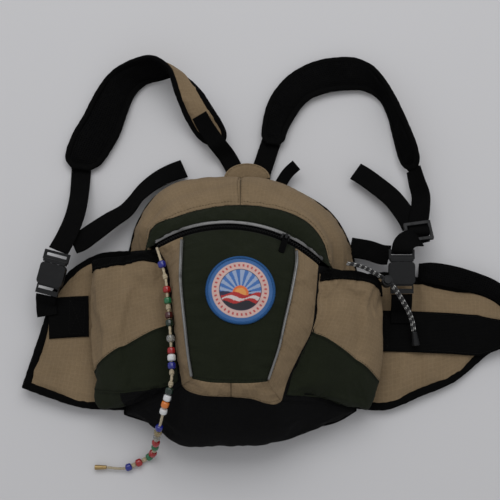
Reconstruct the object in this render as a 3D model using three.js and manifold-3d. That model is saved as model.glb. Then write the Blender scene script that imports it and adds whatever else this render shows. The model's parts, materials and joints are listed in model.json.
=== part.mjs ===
// Lumbar hip pack with a padded waist belt, two bottle pockets and a pair of padded shoulder straps.
// Millimetres. The pack lies on its back: +Z points out of its front, +Y to its top, +X to its right
// as seen from the front. The origin is the centre of the flat rear face of the back panel.
import * as THREE from 'three';
import { mergeVertices } from 'three/addons/utils/BufferGeometryUtils.js';
import Module from 'manifold-3d';

const wasm = await Module();
wasm.setup();

// ---------------------------------------------------------------- driving dimensions
const BODY = { width: 280, height: 320, depth: 117 };
const GAP = 0.3; // clearance between touching pieces
const SEAM = 0.5; // half of the seam that parts two fabric panels
const CLOTH = 2.2; // lined fabric panel
const BACK = { foam: 11.7, sheet: 1.6, rim: 9 }; // foam back panel, and the stiffener let into its top
const PIPING_RADIUS = 1.9;
const ZIP = { width: 8, chain: 1.6, tilt: -56, slider: [10, 6.6, 5.4], pull: [7, 24, 1.6] };
const PATCH = { radius: 38, thickness: 1.4, at: [-2, -7] };
const POCKET = { cloth: 2.0, lift: 1, hem: 9 };
const WING = { foam: 9 };
const BELT = { width: 50, thickness: 1.8 };
const WEBBING = { width: 25, thickness: 1.8 };
const STRAP = { foam: 7.5 };
const MESH_ROLL = 8.5;
const BUCKLE = { rim: 3, thickness: 10, socket: 33, wall: 1.8, bar: 12, prong: 5 };
const LADDER = { rim: 4, length: 25, frame: 4, thickness: 5 };
const SLOT_PLAY = 0.4; // a webbing slot is this much wider than its webbing
const CORD = 2.8; // shock cord diameter
const LOCK = { radius: 6.4, height: 13, spring: 5, travel: 3.2, wall: 1.6 };
const LANYARD = { cord: 2.6, bead: 8.4, knot: 6 };

// ---------------------------------------------------------------- placing
// The pattern is drawn for a body of this size and stretched to the driving one. In height it is
// stretched only above the level where the belt and the straps join it.
const PATTERN = { width: 280, height: 320, foot: 12, joined: 62, depth: 117 };

function level(z) {
  const foot = BACK.foam + GAP;
  if (z <= PATTERN.foot) {
    return (z * foot) / PATTERN.foot;
  }
  if (z <= PATTERN.joined) {
    return THREE.MathUtils.mapLinear(z, PATTERN.foot, PATTERN.joined, foot, PATTERN.joined);
  }
  return THREE.MathUtils.mapLinear(z, PATTERN.joined, PATTERN.depth, PATTERN.joined, BODY.depth);
}

function at(x, y, z) {
  return new THREE.Vector3((x * BODY.width) / PATTERN.width, (y * BODY.height) / PATTERN.height, level(z));
}

const points = (list) => list.map(([x, y, z]) => at(x, y, z));
const curveFrom = (list) => new THREE.CatmullRomCurve3(list, false, 'centripetal');
const smooth = (list) => curveFrom(points(list));
const mix = (a, b, t) => a.clone().lerp(b, t);

// Unit vector from a point of the shell towards the middle of the pack.
const CORE = new THREE.Box3(at(-45, -85, 40), at(35, 45, 55));

function inward(p) {
  return CORE.clampPoint(p, new THREE.Vector3()).sub(p).normalize();
}

// ---------------------------------------------------------------- solids
const object = new THREE.Group();

const COLOURS = {
  khaki: ['#8c7f5e', 0.9, 0],
  green: ['#26352c', 0.9, 0],
  black: ['#17181a', 0.95, 0],
  mesh: ['#1d1e20', 1, 0],
  webbing: ['#1b1b1d', 0.85, 0],
  piping: ['#8f9290', 0.5, 0],
  plastic: ['#2a2c2f', 0.55, 0],
  patch: ['#2f5f8f', 0.8, 0],
  cream: ['#d8ccb0', 0.8, 0],
  steel: ['#9a9c9e', 0.35, 1],
  brass: ['#c79a4b', 0.35, 1],
};

function add(name, geometry, look, parent = object) {
  const [color, roughness, metalness] = COLOURS[look];
  const mesh = new THREE.Mesh(geometry, new THREE.MeshStandardMaterial({ color, roughness, metalness }));
  mesh.name = name;
  parent.add(mesh);
  return mesh;
}

// A closed solid between two grids of points that have the same rows and columns.
function solidBetween(top, bottom) {
  const rows = top.length;
  const cols = top[0].length;
  const vertices = [...top.flat(), ...bottom.flat()].flatMap((p) => [p.x, p.y, p.z]);
  const index = [];
  const id = (side, i, j) => side * rows * cols + i * cols + j;
  const quad = (a, b, c, d) => index.push(a, b, c, a, c, d);
  for (let i = 0; i < rows - 1; i += 1) {
    for (let j = 0; j < cols - 1; j += 1) {
      quad(id(0, i, j), id(0, i, j + 1), id(0, i + 1, j + 1), id(0, i + 1, j));
      quad(id(1, i, j), id(1, i + 1, j), id(1, i + 1, j + 1), id(1, i, j + 1));
    }
    quad(id(0, i, 0), id(0, i + 1, 0), id(1, i + 1, 0), id(1, i, 0));
    quad(id(0, i + 1, cols - 1), id(0, i, cols - 1), id(1, i, cols - 1), id(1, i + 1, cols - 1));
  }
  for (let j = 0; j < cols - 1; j += 1) {
    quad(id(0, 0, j + 1), id(0, 0, j), id(1, 0, j), id(1, 0, j + 1));
    quad(id(0, rows - 1, j), id(0, rows - 1, j + 1), id(1, rows - 1, j + 1), id(1, rows - 1, j));
  }
  return faceOutwards(vertices, index);
}

function faceOutwards(vertices, index) {
  const p = (n) => new THREE.Vector3().fromArray(vertices, 3 * n);
  let volume = 0;
  for (let n = 0; n < index.length; n += 3) {
    volume += p(index[n]).dot(p(index[n + 1]).cross(p(index[n + 2])));
  }
  const geometry = new THREE.BufferGeometry();
  geometry.setAttribute('position', new THREE.Float32BufferAttribute(vertices, 3));
  geometry.setIndex(volume < 0 ? [...index].reverse() : index);
  return geometry;
}

// Pull the border of a grid in by a margin, so that neighbouring panels stay apart.
function trimmed(grid, margin = SEAM) {
  const cut = (line) => {
    const last = line.length - 1;
    const pull = (a, b) => mix(a, b, Math.min(0.45, margin / a.distanceTo(b)));
    return [pull(line[0], line[1]), ...line.slice(1, last), pull(line[last], line[last - 1])];
  };
  const across = grid.map(cut);
  const columns = across[0].map((_, j) => cut(across.map((row) => row[j])));
  return columns[0].map((_, i) => columns.map((column) => column[i]));
}

// A panel's outer face: smooth rows, joined smoothly from row to row.
function loft(rows, cols, steps) {
  const lines = rows.map((row) => smooth(row).getSpacedPoints(cols));
  const columns = lines[0].map((_, j) => {
    const down = new THREE.CatmullRomCurve3(lines.map((line) => line[j]), false, 'centripetal');
    return down.getSpacedPoints(steps);
  });
  return columns[0].map((_, i) => columns.map((column) => column[i]));
}

function panel(grid, thickness = CLOTH, towards = inward) {
  const face = trimmed(grid);
  const lining = face.map((row) => row.map((p) => p.clone().addScaledVector(towards(p), thickness)));
  return solidBetween(face, lining);
}

// A flat strap whose two edges are given; it is thickened equally to both sides.
function ribbon(left, right, thickness, steps) {
  const a = left.getSpacedPoints(steps);
  const b = right.getSpacedPoints(steps);
  const top = [];
  const bottom = [];
  for (let i = 0; i <= steps; i += 1) {
    const before = Math.max(0, i - 1);
    const after = Math.min(steps, i + 1);
    const along = mix(a[after], b[after], 0.5).sub(mix(a[before], b[before], 0.5));
    const normal = b[i].clone().sub(a[i]).cross(along).setLength(thickness / 2);
    const across = [a[i], mix(a[i], b[i], 0.5), b[i]];
    top.push(across.map((p) => p.clone().add(normal)));
    bottom.push(across.map((p) => p.clone().sub(normal)));
  }
  return solidBetween(top, bottom);
}

// Webbing of a constant width along a centre line; "side" points to its right edge.
function webbing(middle, side, width, thickness, steps) {
  const sides = new THREE.CatmullRomCurve3(side.map((s) => new THREE.Vector3(...s).normalize()));
  const edge = (sign) => {
    const line = [];
    for (let i = 0; i <= steps; i += 1) {
      const across = sides.getPoint(i / steps).setLength((sign * width) / 2);
      line.push(middle.getPointAt(i / steps).add(across));
    }
    return new THREE.CatmullRomCurve3(line, false, 'centripetal');
  };
  return ribbon(edge(-1), edge(1), thickness, steps);
}

function tube(curve, radius, steps, sides = 8) {
  const section = new THREE.Shape();
  for (let k = 0; k < sides; k += 1) {
    const turn = (2 * Math.PI * k) / sides;
    const corner = [radius * Math.cos(turn), radius * Math.sin(turn)];
    if (k === 0) {
      section.moveTo(...corner);
    } else {
      section.lineTo(...corner);
    }
  }
  section.closePath();
  return new THREE.ExtrudeGeometry(section, { extrudePath: curve, steps, bevelEnabled: false });
}

function plate(outline, thickness) {
  return new THREE.ExtrudeGeometry(outline, { depth: thickness, bevelEnabled: false, curveSegments: 4 });
}

function box(sx, sy, sz, x = 0, y = 0, z = 0) {
  return new THREE.BoxGeometry(sx, sy, sz).translate(x, y, z);
}

function rounded(width, length, radius) {
  const shape = new THREE.Shape();
  const x = width / 2 - radius;
  const y = length / 2 - radius;
  shape.absarc(x, y, radius, 0, Math.PI / 2);
  shape.absarc(-x, y, radius, Math.PI / 2, Math.PI);
  shape.absarc(-x, -y, radius, Math.PI, 1.5 * Math.PI);
  shape.absarc(x, -y, radius, 1.5 * Math.PI, 2 * Math.PI);
  return shape;
}

// ---------------------------------------------------------------- booleans
function toManifold(geometry) {
  const bare = geometry.clone();
  bare.deleteAttribute('normal');
  bare.deleteAttribute('uv');
  const merged = mergeVertices(bare, 1e-4);
  const vertProperties = new Float32Array(merged.getAttribute('position').array);
  const triVerts = new Uint32Array(merged.getIndex().array);
  return new wasm.Manifold(new wasm.Mesh({ numProp: 3, vertProperties, triVerts }));
}

function fromManifold(solid) {
  const mesh = solid.getMesh();
  const geometry = new THREE.BufferGeometry();
  geometry.setAttribute('position', new THREE.BufferAttribute(new Float32Array(mesh.vertProperties), 3));
  geometry.setIndex(new THREE.BufferAttribute(new Uint32Array(mesh.triVerts), 1));
  return geometry;
}

function join(...geometries) {
  return fromManifold(geometries.map(toManifold).reduce((whole, piece) => whole.add(piece)));
}

function carve(geometry, ...tools) {
  return fromManifold(tools.map(toManifold).reduce((whole, tool) => whole.subtract(tool), toManifold(geometry)));
}

// ---------------------------------------------------------------- seams of the pack body
// The front zip lies on a circular arc through its two ends and its crown.
const ZIP_ENDS = [at(-98, 50, 86), at(88, 31, 83)];
const ZIP_CROWN = at(-8, 67, 107);

function circleThrough(a, b, c) {
  const ab = b.clone().sub(a);
  const ac = c.clone().sub(a);
  const axis = ab.clone().cross(ac);
  const toCentre = axis.clone().cross(ab).multiplyScalar(ac.lengthSq());
  toCentre.add(ac.clone().cross(axis).multiplyScalar(ab.lengthSq()));
  toCentre.divideScalar(2 * axis.lengthSq());
  return { centre: a.clone().add(toCentre), radius: toCentre.length(), axis: axis.normalize() };
}

const arc = circleThrough(ZIP_ENDS[0], ZIP_ENDS[1], ZIP_CROWN);
const arcX = ZIP_CROWN.clone().sub(arc.centre).normalize();
const arcY = arc.axis.clone().cross(arcX);

function arcAngle(p) {
  const d = p.clone().sub(arc.centre);
  return Math.atan2(d.dot(arcY), d.dot(arcX));
}

const ARC_SPAN = ZIP_ENDS.map(arcAngle);
const ZIP_TILT = THREE.MathUtils.degToRad(ZIP.tilt);

// Directions of the zip at an angle along its arc: radial, along, across its tape and out of its face.
function zipFrame(angle) {
  const radial = arcX.clone().multiplyScalar(Math.cos(angle)).addScaledVector(arcY, Math.sin(angle));
  const along = arc.axis.clone().cross(radial);
  const up = arc.axis.clone().multiplyScalar(Math.sign(arc.axis.z));
  const across = radial.clone().multiplyScalar(Math.cos(ZIP_TILT)).addScaledVector(up, Math.sin(ZIP_TILT));
  const out = along.clone().cross(across);
  out.multiplyScalar(Math.sign(out.z));
  return { radial, along, across, out, foot: arc.centre.clone().addScaledVector(radial, arc.radius) };
}

// A point beside the zip's lower edge: a share of its length, so far across its tape and out of it.
function zipPoint(share, across = 0, out = 0) {
  const frame = zipFrame(THREE.MathUtils.lerp(ARC_SPAN[0], ARC_SPAN[1], share));
  return frame.foot.addScaledVector(frame.across, across).addScaledVector(frame.out, out);
}

function zipLine(across, out, steps, from = 0, to = 1) {
  const line = [];
  for (let i = 0; i <= steps; i += 1) {
    line.push(zipPoint(THREE.MathUtils.lerp(from, to, i / steps), across, out));
  }
  return line;
}

const FRONT = {
  left: [[-69, 34, 110], [-69, 8, 114], [-66, -23, 116], [-63, -48, 117], [-60, -73, 116], [-55, -104, 112]],
  right: [[61, 30, 106], [59, 16, 109], [54, -10, 113], [47, -41, 115], [40, -72, 115], [28, -107, 112]],
  bottom: [[-55, -104, 112], [-36, -108, 114], [-12, -109, 115], [10, -109, 115], [28, -107, 112]],
};
const SIDE = {
  left: {
    back: [[-140, 65, 12], [-140, 0, 12], [-140, -70, 12], [-140, -134, 12]],
    low: [[-128, 60, 36], [-124, 0, 34], [-124, -60, 34], [-128, -134, 34]],
    high: [[-114, 55, 60], [-106, 0, 58], [-98, -60, 58], [-98, -124, 58]],
    front: [[-98, 50, 86], [-89, 34, 80], [-83, 7, 78], [-78, -35, 78], [-74, -73, 78], [-68, -108, 80]],
  },
  right: {
    back: [[140, 35, 12], [138, -30, 12], [136, -90, 12], [134, -130, 12]],
    low: [[126, 34, 36], [118, -30, 34], [114, -80, 34], [122, -134, 34]],
    high: [[110, 32, 60], [98, -30, 60], [88, -80, 60], [84, -126, 58]],
    front: [[88, 31, 83], [84, -10, 82], [79, -45, 82], [65, -73, 83], [52, -100, 83], [44, -126, 82]],
  },
};
const ARCH = {
  back: [
    [-140, 65, 12], [-132, 99, 12], [-111, 134, 12], [-86, 149, 12], [-54, 156, 12], [-10, 157, 12],
    [30, 153, 12], [71, 140, 12], [109, 114, 12], [130, 78, 12], [140, 35, 12],
  ],
  low: [
    [-128, 60, 36], [-126, 92, 42], [-106, 126, 46], [-82, 142, 48], [-50, 148, 50], [-10, 150, 52],
    [30, 146, 50], [68, 132, 48], [101, 106, 46], [121, 72, 42], [126, 34, 36],
  ],
  high: [
    [-114, 55, 60], [-118, 82, 66], [-98, 108, 74], [-76, 120, 79], [-46, 128, 82], [-8, 131, 84],
    [30, 127, 82], [62, 116, 79], [88, 96, 72], [106, 66, 66], [110, 32, 60],
  ],
  band: [
    [-113, 56, 76], [-109, 74, 83], [-88, 84, 88], [-50, 95, 93], [-8, 100, 96], [31, 97, 95],
    [62, 89, 91], [80, 78, 87], [94, 60, 82], [102, 34, 73],
  ],
};
const BASE = {
  back: [
    [-140, -134, 12], [-107, -145, 12], [-73, -163, 12], [-25, -166, 12],
    [23, -163, 12], [67, -152, 12], [110, -143, 12], [134, -130, 12],
  ],
  low: [
    [-128, -134, 34], [-104, -150, 32], [-73, -170, 30], [-25, -174, 30],
    [23, -171, 32], [67, -158, 32], [104, -144, 34], [122, -134, 34],
  ],
  high: [
    [-98, -124, 58], [-86, -140, 64], [-64, -154, 68], [-25, -159, 70],
    [20, -157, 70], [50, -150, 66], [74, -138, 62], [84, -126, 58],
  ],
  front: [
    [-68, -108, 80], [-61, -115, 92], [-44, -121, 101], [-13, -123, 103],
    [11, -125, 101], [25, -129, 96], [36, -130, 90], [44, -126, 82],
  ],
};

// Where along the zip arc a point of a given x lies, from 0 at its left end to 1 at its right.
function zipShare(x) {
  let low = 0;
  let high = 1;
  for (let i = 0; i < 30; i += 1) {
    const middle = (low + high) / 2;
    if (zipPoint(middle).x < x) {
      low = middle;
    } else {
      high = middle;
    }
  }
  return low;
}

// ---------------------------------------------------------------- back panel and stiffener
function backOutline(inset) {
  const ring = [...ARCH.back, ...SIDE.right.back.slice(1), ...[...BASE.back].reverse().slice(1)];
  ring.push(...[...SIDE.left.back].reverse().slice(1, -1));
  const flat = ring.map(([x, y]) => at(x, y, 0)).map((p) => new THREE.Vector2(p.x, p.y));
  const inner = flat.map((p, i) => {
    const next = flat[(i + 1) % flat.length];
    const before = flat[(i + flat.length - 1) % flat.length];
    const along = next.clone().sub(before).normalize();
    return p.clone().add(new THREE.Vector2(along.y, -along.x).multiplyScalar(inset));
  });
  return new THREE.Shape(inner);
}

function makeBack() {
  const depth = BACK.sheet + GAP;
  const recess = plate(backOutline(BACK.rim - GAP), depth + 1).translate(0, 0, BACK.foam - depth);
  add('back_panel', carve(plate(backOutline(0), BACK.foam), recess), 'mesh');
  add('frame_sheet', plate(backOutline(BACK.rim), BACK.sheet).translate(0, 0, BACK.foam - BACK.sheet), 'plastic');
}

// ---------------------------------------------------------------- shell of the pack
function makeShell() {
  add('crown_gusset', panel(loft([ARCH.back, ARCH.low, ARCH.high, ARCH.band], 18, 6)), 'khaki');
  for (const name of ['left', 'right']) {
    const wall = SIDE[name];
    add(`${name}_side_panel`, panel(loft([wall.back, wall.low, wall.high, wall.front], 8, 5)), 'black');
  }
  add('base_panel', panel(loft([BASE.back, BASE.low, BASE.high, BASE.front], 14, 7)), 'black');
}

// The rain band between the crown and the zip.
function makeBand() {
  const steps = 20;
  const upper = smooth(ARCH.band).getSpacedPoints(steps);
  const lower = zipLine(ZIP.width + SEAM, 0, steps);
  const middle = upper.map((p, i) => mix(p, lower[i], 0.5).addScaledVector(inward(p), -2.5));
  add('upper_band', panel([upper, middle, lower]), 'green');
  const ridge = new THREE.CatmullRomCurve3(
    zipLine(ZIP.width + PIPING_RADIUS + 0.6, PIPING_RADIUS + 2.5, 16, 0.02, 0.98),
  );
  add('band_piping', tube(ridge, PIPING_RADIUS, 20, 6), 'piping');
}

function makeZip() {
  const outer = [zipLine(SEAM, 0, 24), zipLine(ZIP.width - SEAM, 0, 24)];
  const inner = [zipLine(SEAM, -ZIP.chain, 24), zipLine(ZIP.width - SEAM, -ZIP.chain, 24)];
  add('front_zip', solidBetween(outer, inner), 'black');
}

// ---------------------------------------------------------------- front pocket
// Its four corners: where each piping meets the zip, and the two ends of its bottom seam.
const leftShare = zipShare(at(...FRONT.left[0]).x);
const rightShare = zipShare(at(...FRONT.right[0]).x);
const leftSeam = curveFrom([zipPoint(leftShare), ...points(FRONT.left)]);
const rightSeam = curveFrom([zipPoint(rightShare), ...points(FRONT.right)]);
const bottomSeam = smooth(FRONT.bottom);

// Point of the front panel: u runs from the left piping to the right one, v from the zip down.
function frontPoint(u, v) {
  const top = zipPoint(THREE.MathUtils.lerp(leftShare, rightShare, u));
  const bottom = bottomSeam.getPointAt(u);
  const left = leftSeam.getPointAt(v);
  const right = rightSeam.getPointAt(v);
  const corners = mix(
    mix(leftSeam.getPoint(0), rightSeam.getPoint(0), u),
    mix(leftSeam.getPoint(1), rightSeam.getPoint(1), u),
    v,
  );
  const bulge = 3 * Math.sin(Math.PI * u) * Math.sin(Math.PI * v);
  return mix(top, bottom, v).add(mix(left, right, u)).sub(corners).add(new THREE.Vector3(0, 0, bulge));
}

// The front panel's point above a place x, y of its plan.
function frontAbove(x, y) {
  let u = 0.5;
  let v = 0.5;
  for (let i = 0; i < 40; i += 1) {
    const p = frontPoint(u, v);
    const width = leftSeam.getPointAt(v).distanceTo(rightSeam.getPointAt(v));
    u = THREE.MathUtils.clamp(u + (0.6 * (x - p.x)) / width, 0, 1);
    v = THREE.MathUtils.clamp(v - (0.6 * (y - p.y)) / leftSeam.getLength(), 0, 1);
  }
  return frontPoint(u, v);
}

const GUSSET_BULGE = 0.6;

function makeFront() {
  const rows = 8;
  const cols = 10;
  const face = [];
  for (let i = 0; i <= rows; i += 1) {
    const row = [];
    for (let j = 0; j <= cols; j += 1) {
      row.push(frontPoint(j / cols, i / rows));
    }
    face.push(row);
  }
  add('front_panel', panel(face), 'green');
  for (const [name, seam, wall] of [['left', leftSeam, SIDE.left], ['right', rightSeam, SIDE.right]]) {
    const outer = smooth(wall.front).getSpacedPoints(10);
    const inner = seam.getSpacedPoints(10);
    const middle = outer.map((p, i) => mix(p, inner[i], 0.5).addScaledVector(inward(p), -GUSSET_BULGE));
    add(`${name}_gusset`, panel([outer, middle, inner]), 'khaki');
    const ridge = seam.getSpacedPoints(14).slice(1, -1);
    const raised = ridge.map((p) => p.addScaledVector(inward(p), -(PIPING_RADIUS + 0.7)));
    add(`${name}_piping`, tube(new THREE.CatmullRomCurve3(raised), PIPING_RADIUS, 12, 6), 'piping');
  }
  const top = smooth(FRONT.bottom).getSpacedPoints(12);
  const bottom = smooth(BASE.front).getSpacedPoints(12);
  add('bottom_strip', panel([top, bottom]), 'khaki');
}

// Grid that fills four seams which meet at their ends: top and bottom run along, left and right down.
function fill(top, bottom, left, right, cols, rows) {
  const corner = (along, end) => along.getPointAt(end);
  const grid = [];
  for (let i = 0; i <= rows; i += 1) {
    const v = i / rows;
    const row = [];
    for (let j = 0; j <= cols; j += 1) {
      const u = j / cols;
      const corners = mix(mix(corner(top, 0), corner(top, 1), u), mix(corner(bottom, 0), corner(bottom, 1), u), v);
      const p = mix(top.getPointAt(u), bottom.getPointAt(u), v).add(mix(left.getPointAt(v), right.getPointAt(v), u));
      row.push(p.sub(corners));
    }
    grid.push(row);
  }
  return grid;
}

// Wall between the front pocket and the main compartment, sewn into the seam round the front.
function makeDivider() {
  const seams = [curveFrom(zipLine(0, 0, 16)), smooth(BASE.front), smooth(SIDE.left.front), smooth(SIDE.right.front)];
  const inset = CLOTH + 2 * GAP;
  const grid = fill(...seams, 10, 8).map((row) => row.map((p) => p.addScaledVector(inward(p), inset)));
  add('divider', panel(grid, CLOTH / 2), 'black');
}

// Round woven patch that follows the front panel.
function makePatch() {
  const rings = 3;
  const turns = 24;
  const centre = at(...PATCH.at, 0);
  const lift = GAP + 0.5;
  const face = (height) => {
    const list = [frontAbove(centre.x, centre.y).add(new THREE.Vector3(0, 0, height))];
    for (let i = 1; i <= rings; i += 1) {
      for (let k = 0; k < turns; k += 1) {
        const reach = (PATCH.radius * i) / rings;
        const turn = (2 * Math.PI * k) / turns;
        const p = frontAbove(centre.x + reach * Math.cos(turn), centre.y + reach * Math.sin(turn));
        list.push(p.add(new THREE.Vector3(0, 0, height)));
      }
    }
    return list;
  };
  const top = face(lift + PATCH.thickness);
  const all = [...top, ...face(lift)];
  const index = [];
  const id = (side, ring, k) => side * top.length + (ring === 0 ? 0 : 1 + (ring - 1) * turns + (k % turns));
  for (let k = 0; k < turns; k += 1) {
    index.push(id(0, 0, 0), id(0, 1, k), id(0, 1, k + 1));
    index.push(id(1, 0, 0), id(1, 1, k + 1), id(1, 1, k));
    for (let i = 1; i < rings; i += 1) {
      index.push(id(0, i, k), id(0, i + 1, k), id(0, i + 1, k + 1));
      index.push(id(0, i, k), id(0, i + 1, k + 1), id(0, i, k + 1));
      index.push(id(1, i, k), id(1, i + 1, k + 1), id(1, i + 1, k));
      index.push(id(1, i, k), id(1, i, k + 1), id(1, i + 1, k + 1));
    }
    index.push(id(0, rings, k), id(1, rings, k), id(1, rings, k + 1));
    index.push(id(0, rings, k), id(1, rings, k + 1), id(0, rings, k + 1));
  }
  add('round_patch', faceOutwards(all.flatMap((p) => [p.x, p.y, p.z]), index), 'patch');
}

// ---------------------------------------------------------------- zip slider and pull
const SLIDER_AT = 0.75;

function makeSlider() {
  const angle = THREE.MathUtils.lerp(ARC_SPAN[0], ARC_SPAN[1], SLIDER_AT);
  const frame = zipFrame(angle);
  const [length, width, height] = ZIP.slider;
  const [pullWidth, pullLength, pullThickness] = ZIP.pull;
  const group = new THREE.Group();
  const basis = new THREE.Matrix4().makeBasis(frame.across.clone().cross(frame.out), frame.across, frame.out);
  group.quaternion.setFromRotationMatrix(basis);
  group.position.copy(frame.foot).addScaledVector(frame.across, ZIP.width / 2);
  object.add(group);
  const bridge = carve(
    box(3, width, 3.4, 0, 0, height + 1.65),
    box(4, width - 2.4, 2.2, 0, 0, height + 1.1),
  );
  add('zip_slider', join(box(length, width, height - GAP, 0, 0, (height + GAP) / 2), bridge), 'plastic', group);
  const eye = 4.6; // hole of the pull, which loops round the bridge's lower leg
  const bar = 1.3;
  const pull = carve(
    plate(rounded(pullWidth, pullLength, 2), pullThickness).translate(0, -pullLength / 2, 0),
    box(pullWidth - 3.2, eye, 4, 0, -bar - eye / 2, 1),
  );
  add('zip_pull', pull.translate(0, 1.4, height + 0.35), 'plastic', group);
}

// ---------------------------------------------------------------- bottle pockets
const SOLE = 0.4; // the left belt buckle lies this far above the rear face, under its wing
const WING_LEVEL = SOLE + BUCKLE.thickness + SEAM + WING.foam / 2;
const WING_TOP = WING_LEVEL + WING.foam / 2;
const POCKETS = {
  left: {
    core: [-152, 42],
    rows: [
      [
        [-146, 46, WING_TOP - 0.9], [-170, 46, WING_TOP + 0.1], [-181, 46, 32],
        [-175, 46, 46], [-135, 46, 66], [-112, 46, 77],
      ],
      [
        [-146, -25, WING_TOP - 0.9], [-172, -25, WING_TOP + 0.1], [-182, -25, 32],
        [-174, -28, 50], [-136, -26, 72], [-104, -20, 82],
      ],
      [
        [-146, -84, WING_TOP - 0.9], [-168, -86, WING_TOP - 0.9], [-174, -89, 28],
        [-167, -87, 44], [-139, -76, 68], [-104, -60, 82],
      ],
      [
        [-146, -122, WING_TOP - 0.9], [-160, -124, WING_TOP + 0.1], [-168, -125, 27],
        [-154, -117, 44], [-134, -106, 62], [-104, -98, 76],
      ],
    ],
  },
  right: {
    core: [140, 42],
    rows: [
      [[146, 24, 19], [158, 20, 19], [166, 15, 30], [160, 20, 50], [141, 25, 68], [118, 25, 79]],
      [[144, -25, 19], [158, -24, 19], [166, -23, 28], [157, -25, 50], [137, -22, 72], [110, -22, 84]],
      [[143, -86, 19], [154, -90, 19], [160, -92, 28], [148, -88, 48], [123, -74, 72], [98, -60, 86]],
      [[142, -124, 19], [146, -126, 20], [148, -127, 28], [130, -118, 50], [110, -113, 66], [88, -108, 80]],
    ],
  },
};

// A point just outside the side panel: v runs down from the pocket's mouth, w out from the back.
function wallPoint(wall, v, w, lift) {
  const lines = [wall.back, wall.low, wall.high, wall.front].map((line) => smooth(line));
  const across = new THREE.CatmullRomCurve3(lines.map((line) => line.getPointAt(v)), false, 'centripetal');
  const p = across.getPoint(w);
  return p.addScaledVector(inward(p), -lift);
}

const POCKET_STEPS = 12;

function makePocket(name) {
  const { core, rows } = POCKETS[name];
  const wall = SIDE[name];
  const centre = at(core[0], 0, core[1]);
  const mouthShare = name === 'left' ? 0.08 : 0.06;
  const shares = [mouthShare, 0.42, 0.72, 0.9];
  const lines = rows.map((row, i) => {
    const seamEnd = wallPoint(wall, shares[i], 0.97, POCKET.lift);
    const curve = new THREE.CatmullRomCurve3([...points(row), seamEnd], false, 'centripetal');
    return curve.getSpacedPoints(POCKET_STEPS);
  });
  const closing = [];
  for (let j = 0; j <= POCKET_STEPS; j += 1) {
    closing.push(wallPoint(wall, 0.95, THREE.MathUtils.lerp(0.1, 0.97, j / POCKET_STEPS), POCKET.lift));
  }
  lines.push(closing);
  const columns = lines[0].map((_, j) => {
    const down = new THREE.CatmullRomCurve3(lines.map((line) => line[j]), false, 'centripetal');
    return down.getSpacedPoints(8);
  });
  const grid = columns[0].map((_, i) => columns.map((column) => column[i]));
  const low = at(0, -80, 0).y;
  const high = at(0, 45, 0).y;
  const towards = (p) => {
    const y = THREE.MathUtils.clamp(p.y, low, high);
    return new THREE.Vector3(centre.x, y, centre.z).sub(p).normalize();
  };
  add(`${name}_pocket`, panel(grid, POCKET.cloth, towards), 'khaki');
  const hemRows = [-GAP - 0.2, POCKET.hem].map((drop) => grid[0].slice(0, -1).map((p, j) => {
    const down = grid[1][j].clone().sub(p).normalize();
    return p.clone().addScaledVector(towards(p), -(GAP + 0.1)).addScaledVector(down, drop);
  }));
  const hem = hemRows.map((row) => row.slice(1));
  const outside = hem.map((row) => row.map((p) => p.clone().addScaledVector(towards(p), -1.2)));
  add(`${name}_pocket_binding`, solidBetween(outside, hem), 'webbing');
}

// ---------------------------------------------------------------- belt wings
// Padded cloth of a given outline; an end that folds is pressed thin.
function slab(outline, thickness, thinStart = false, thinEnd = false) {
  const last = outline.length - 1;
  const half = (i) => ((i === 0 && thinStart) || (i === last && thinEnd) ? CLOTH : thickness) / 2;
  const shifted = (sign) => outline.map((row, i) => row.map((p) => p.clone().setZ(p.z + sign * half(i))));
  return solidBetween(shifted(1), shifted(-1));
}

const CREASE = [[-228, 14], [-239.3, -25], [-250.7, -64], [-262, -103]].map(([x, y]) => [x, y, WING_LEVEL + 2]);
const FLAP = { foam: 7.5, level: 8.5 }; // the wing's end, folded under it along the crease
const RIGHT_FOLD = 212; // x of the line where the right wing swings

function makeLeftWing() {
  const root = [[-141.2, 66, 6], [-141.2, 0, 6], [-141.2, -70, 6], [-141.2, -128, 6]];
  const middle = [[-176, 60], [-180, 2], [-184, -66], [-190, -126]].map(([x, y]) => [x, y, WING_LEVEL]);
  const outer = [[-208, 40], [-212, -8], [-218, -66], [-228, -115]].map(([x, y]) => [x, y, WING_LEVEL + 1.4]);
  add('left_wing', slab(trimmed(loft([root, middle, outer, CREASE], 6, 7)), WING.foam), 'khaki');
  const under = CREASE.map(([x, y]) => [x, y, FLAP.level]);
  const end = [[-222, 2, 5], [-224, -18, 5], [-226, -34, 5], [-229, -50, 5]];
  add('left_wing_flap', slab(trimmed(loft([under, end], 6, 4)), FLAP.foam), 'mesh');
  const strap = [[-186, -18, WING_TOP + 2.6], [-206, -19, WING_TOP + 3.4], [-234, -21, WING_TOP + 3.7]];
  const up = [[0, 1, 0], [0, 1, 0]];
  add('left_belt_webbing', webbing(smooth(strap), up, BELT.width, BELT.thickness, 6), 'webbing');
}

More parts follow.
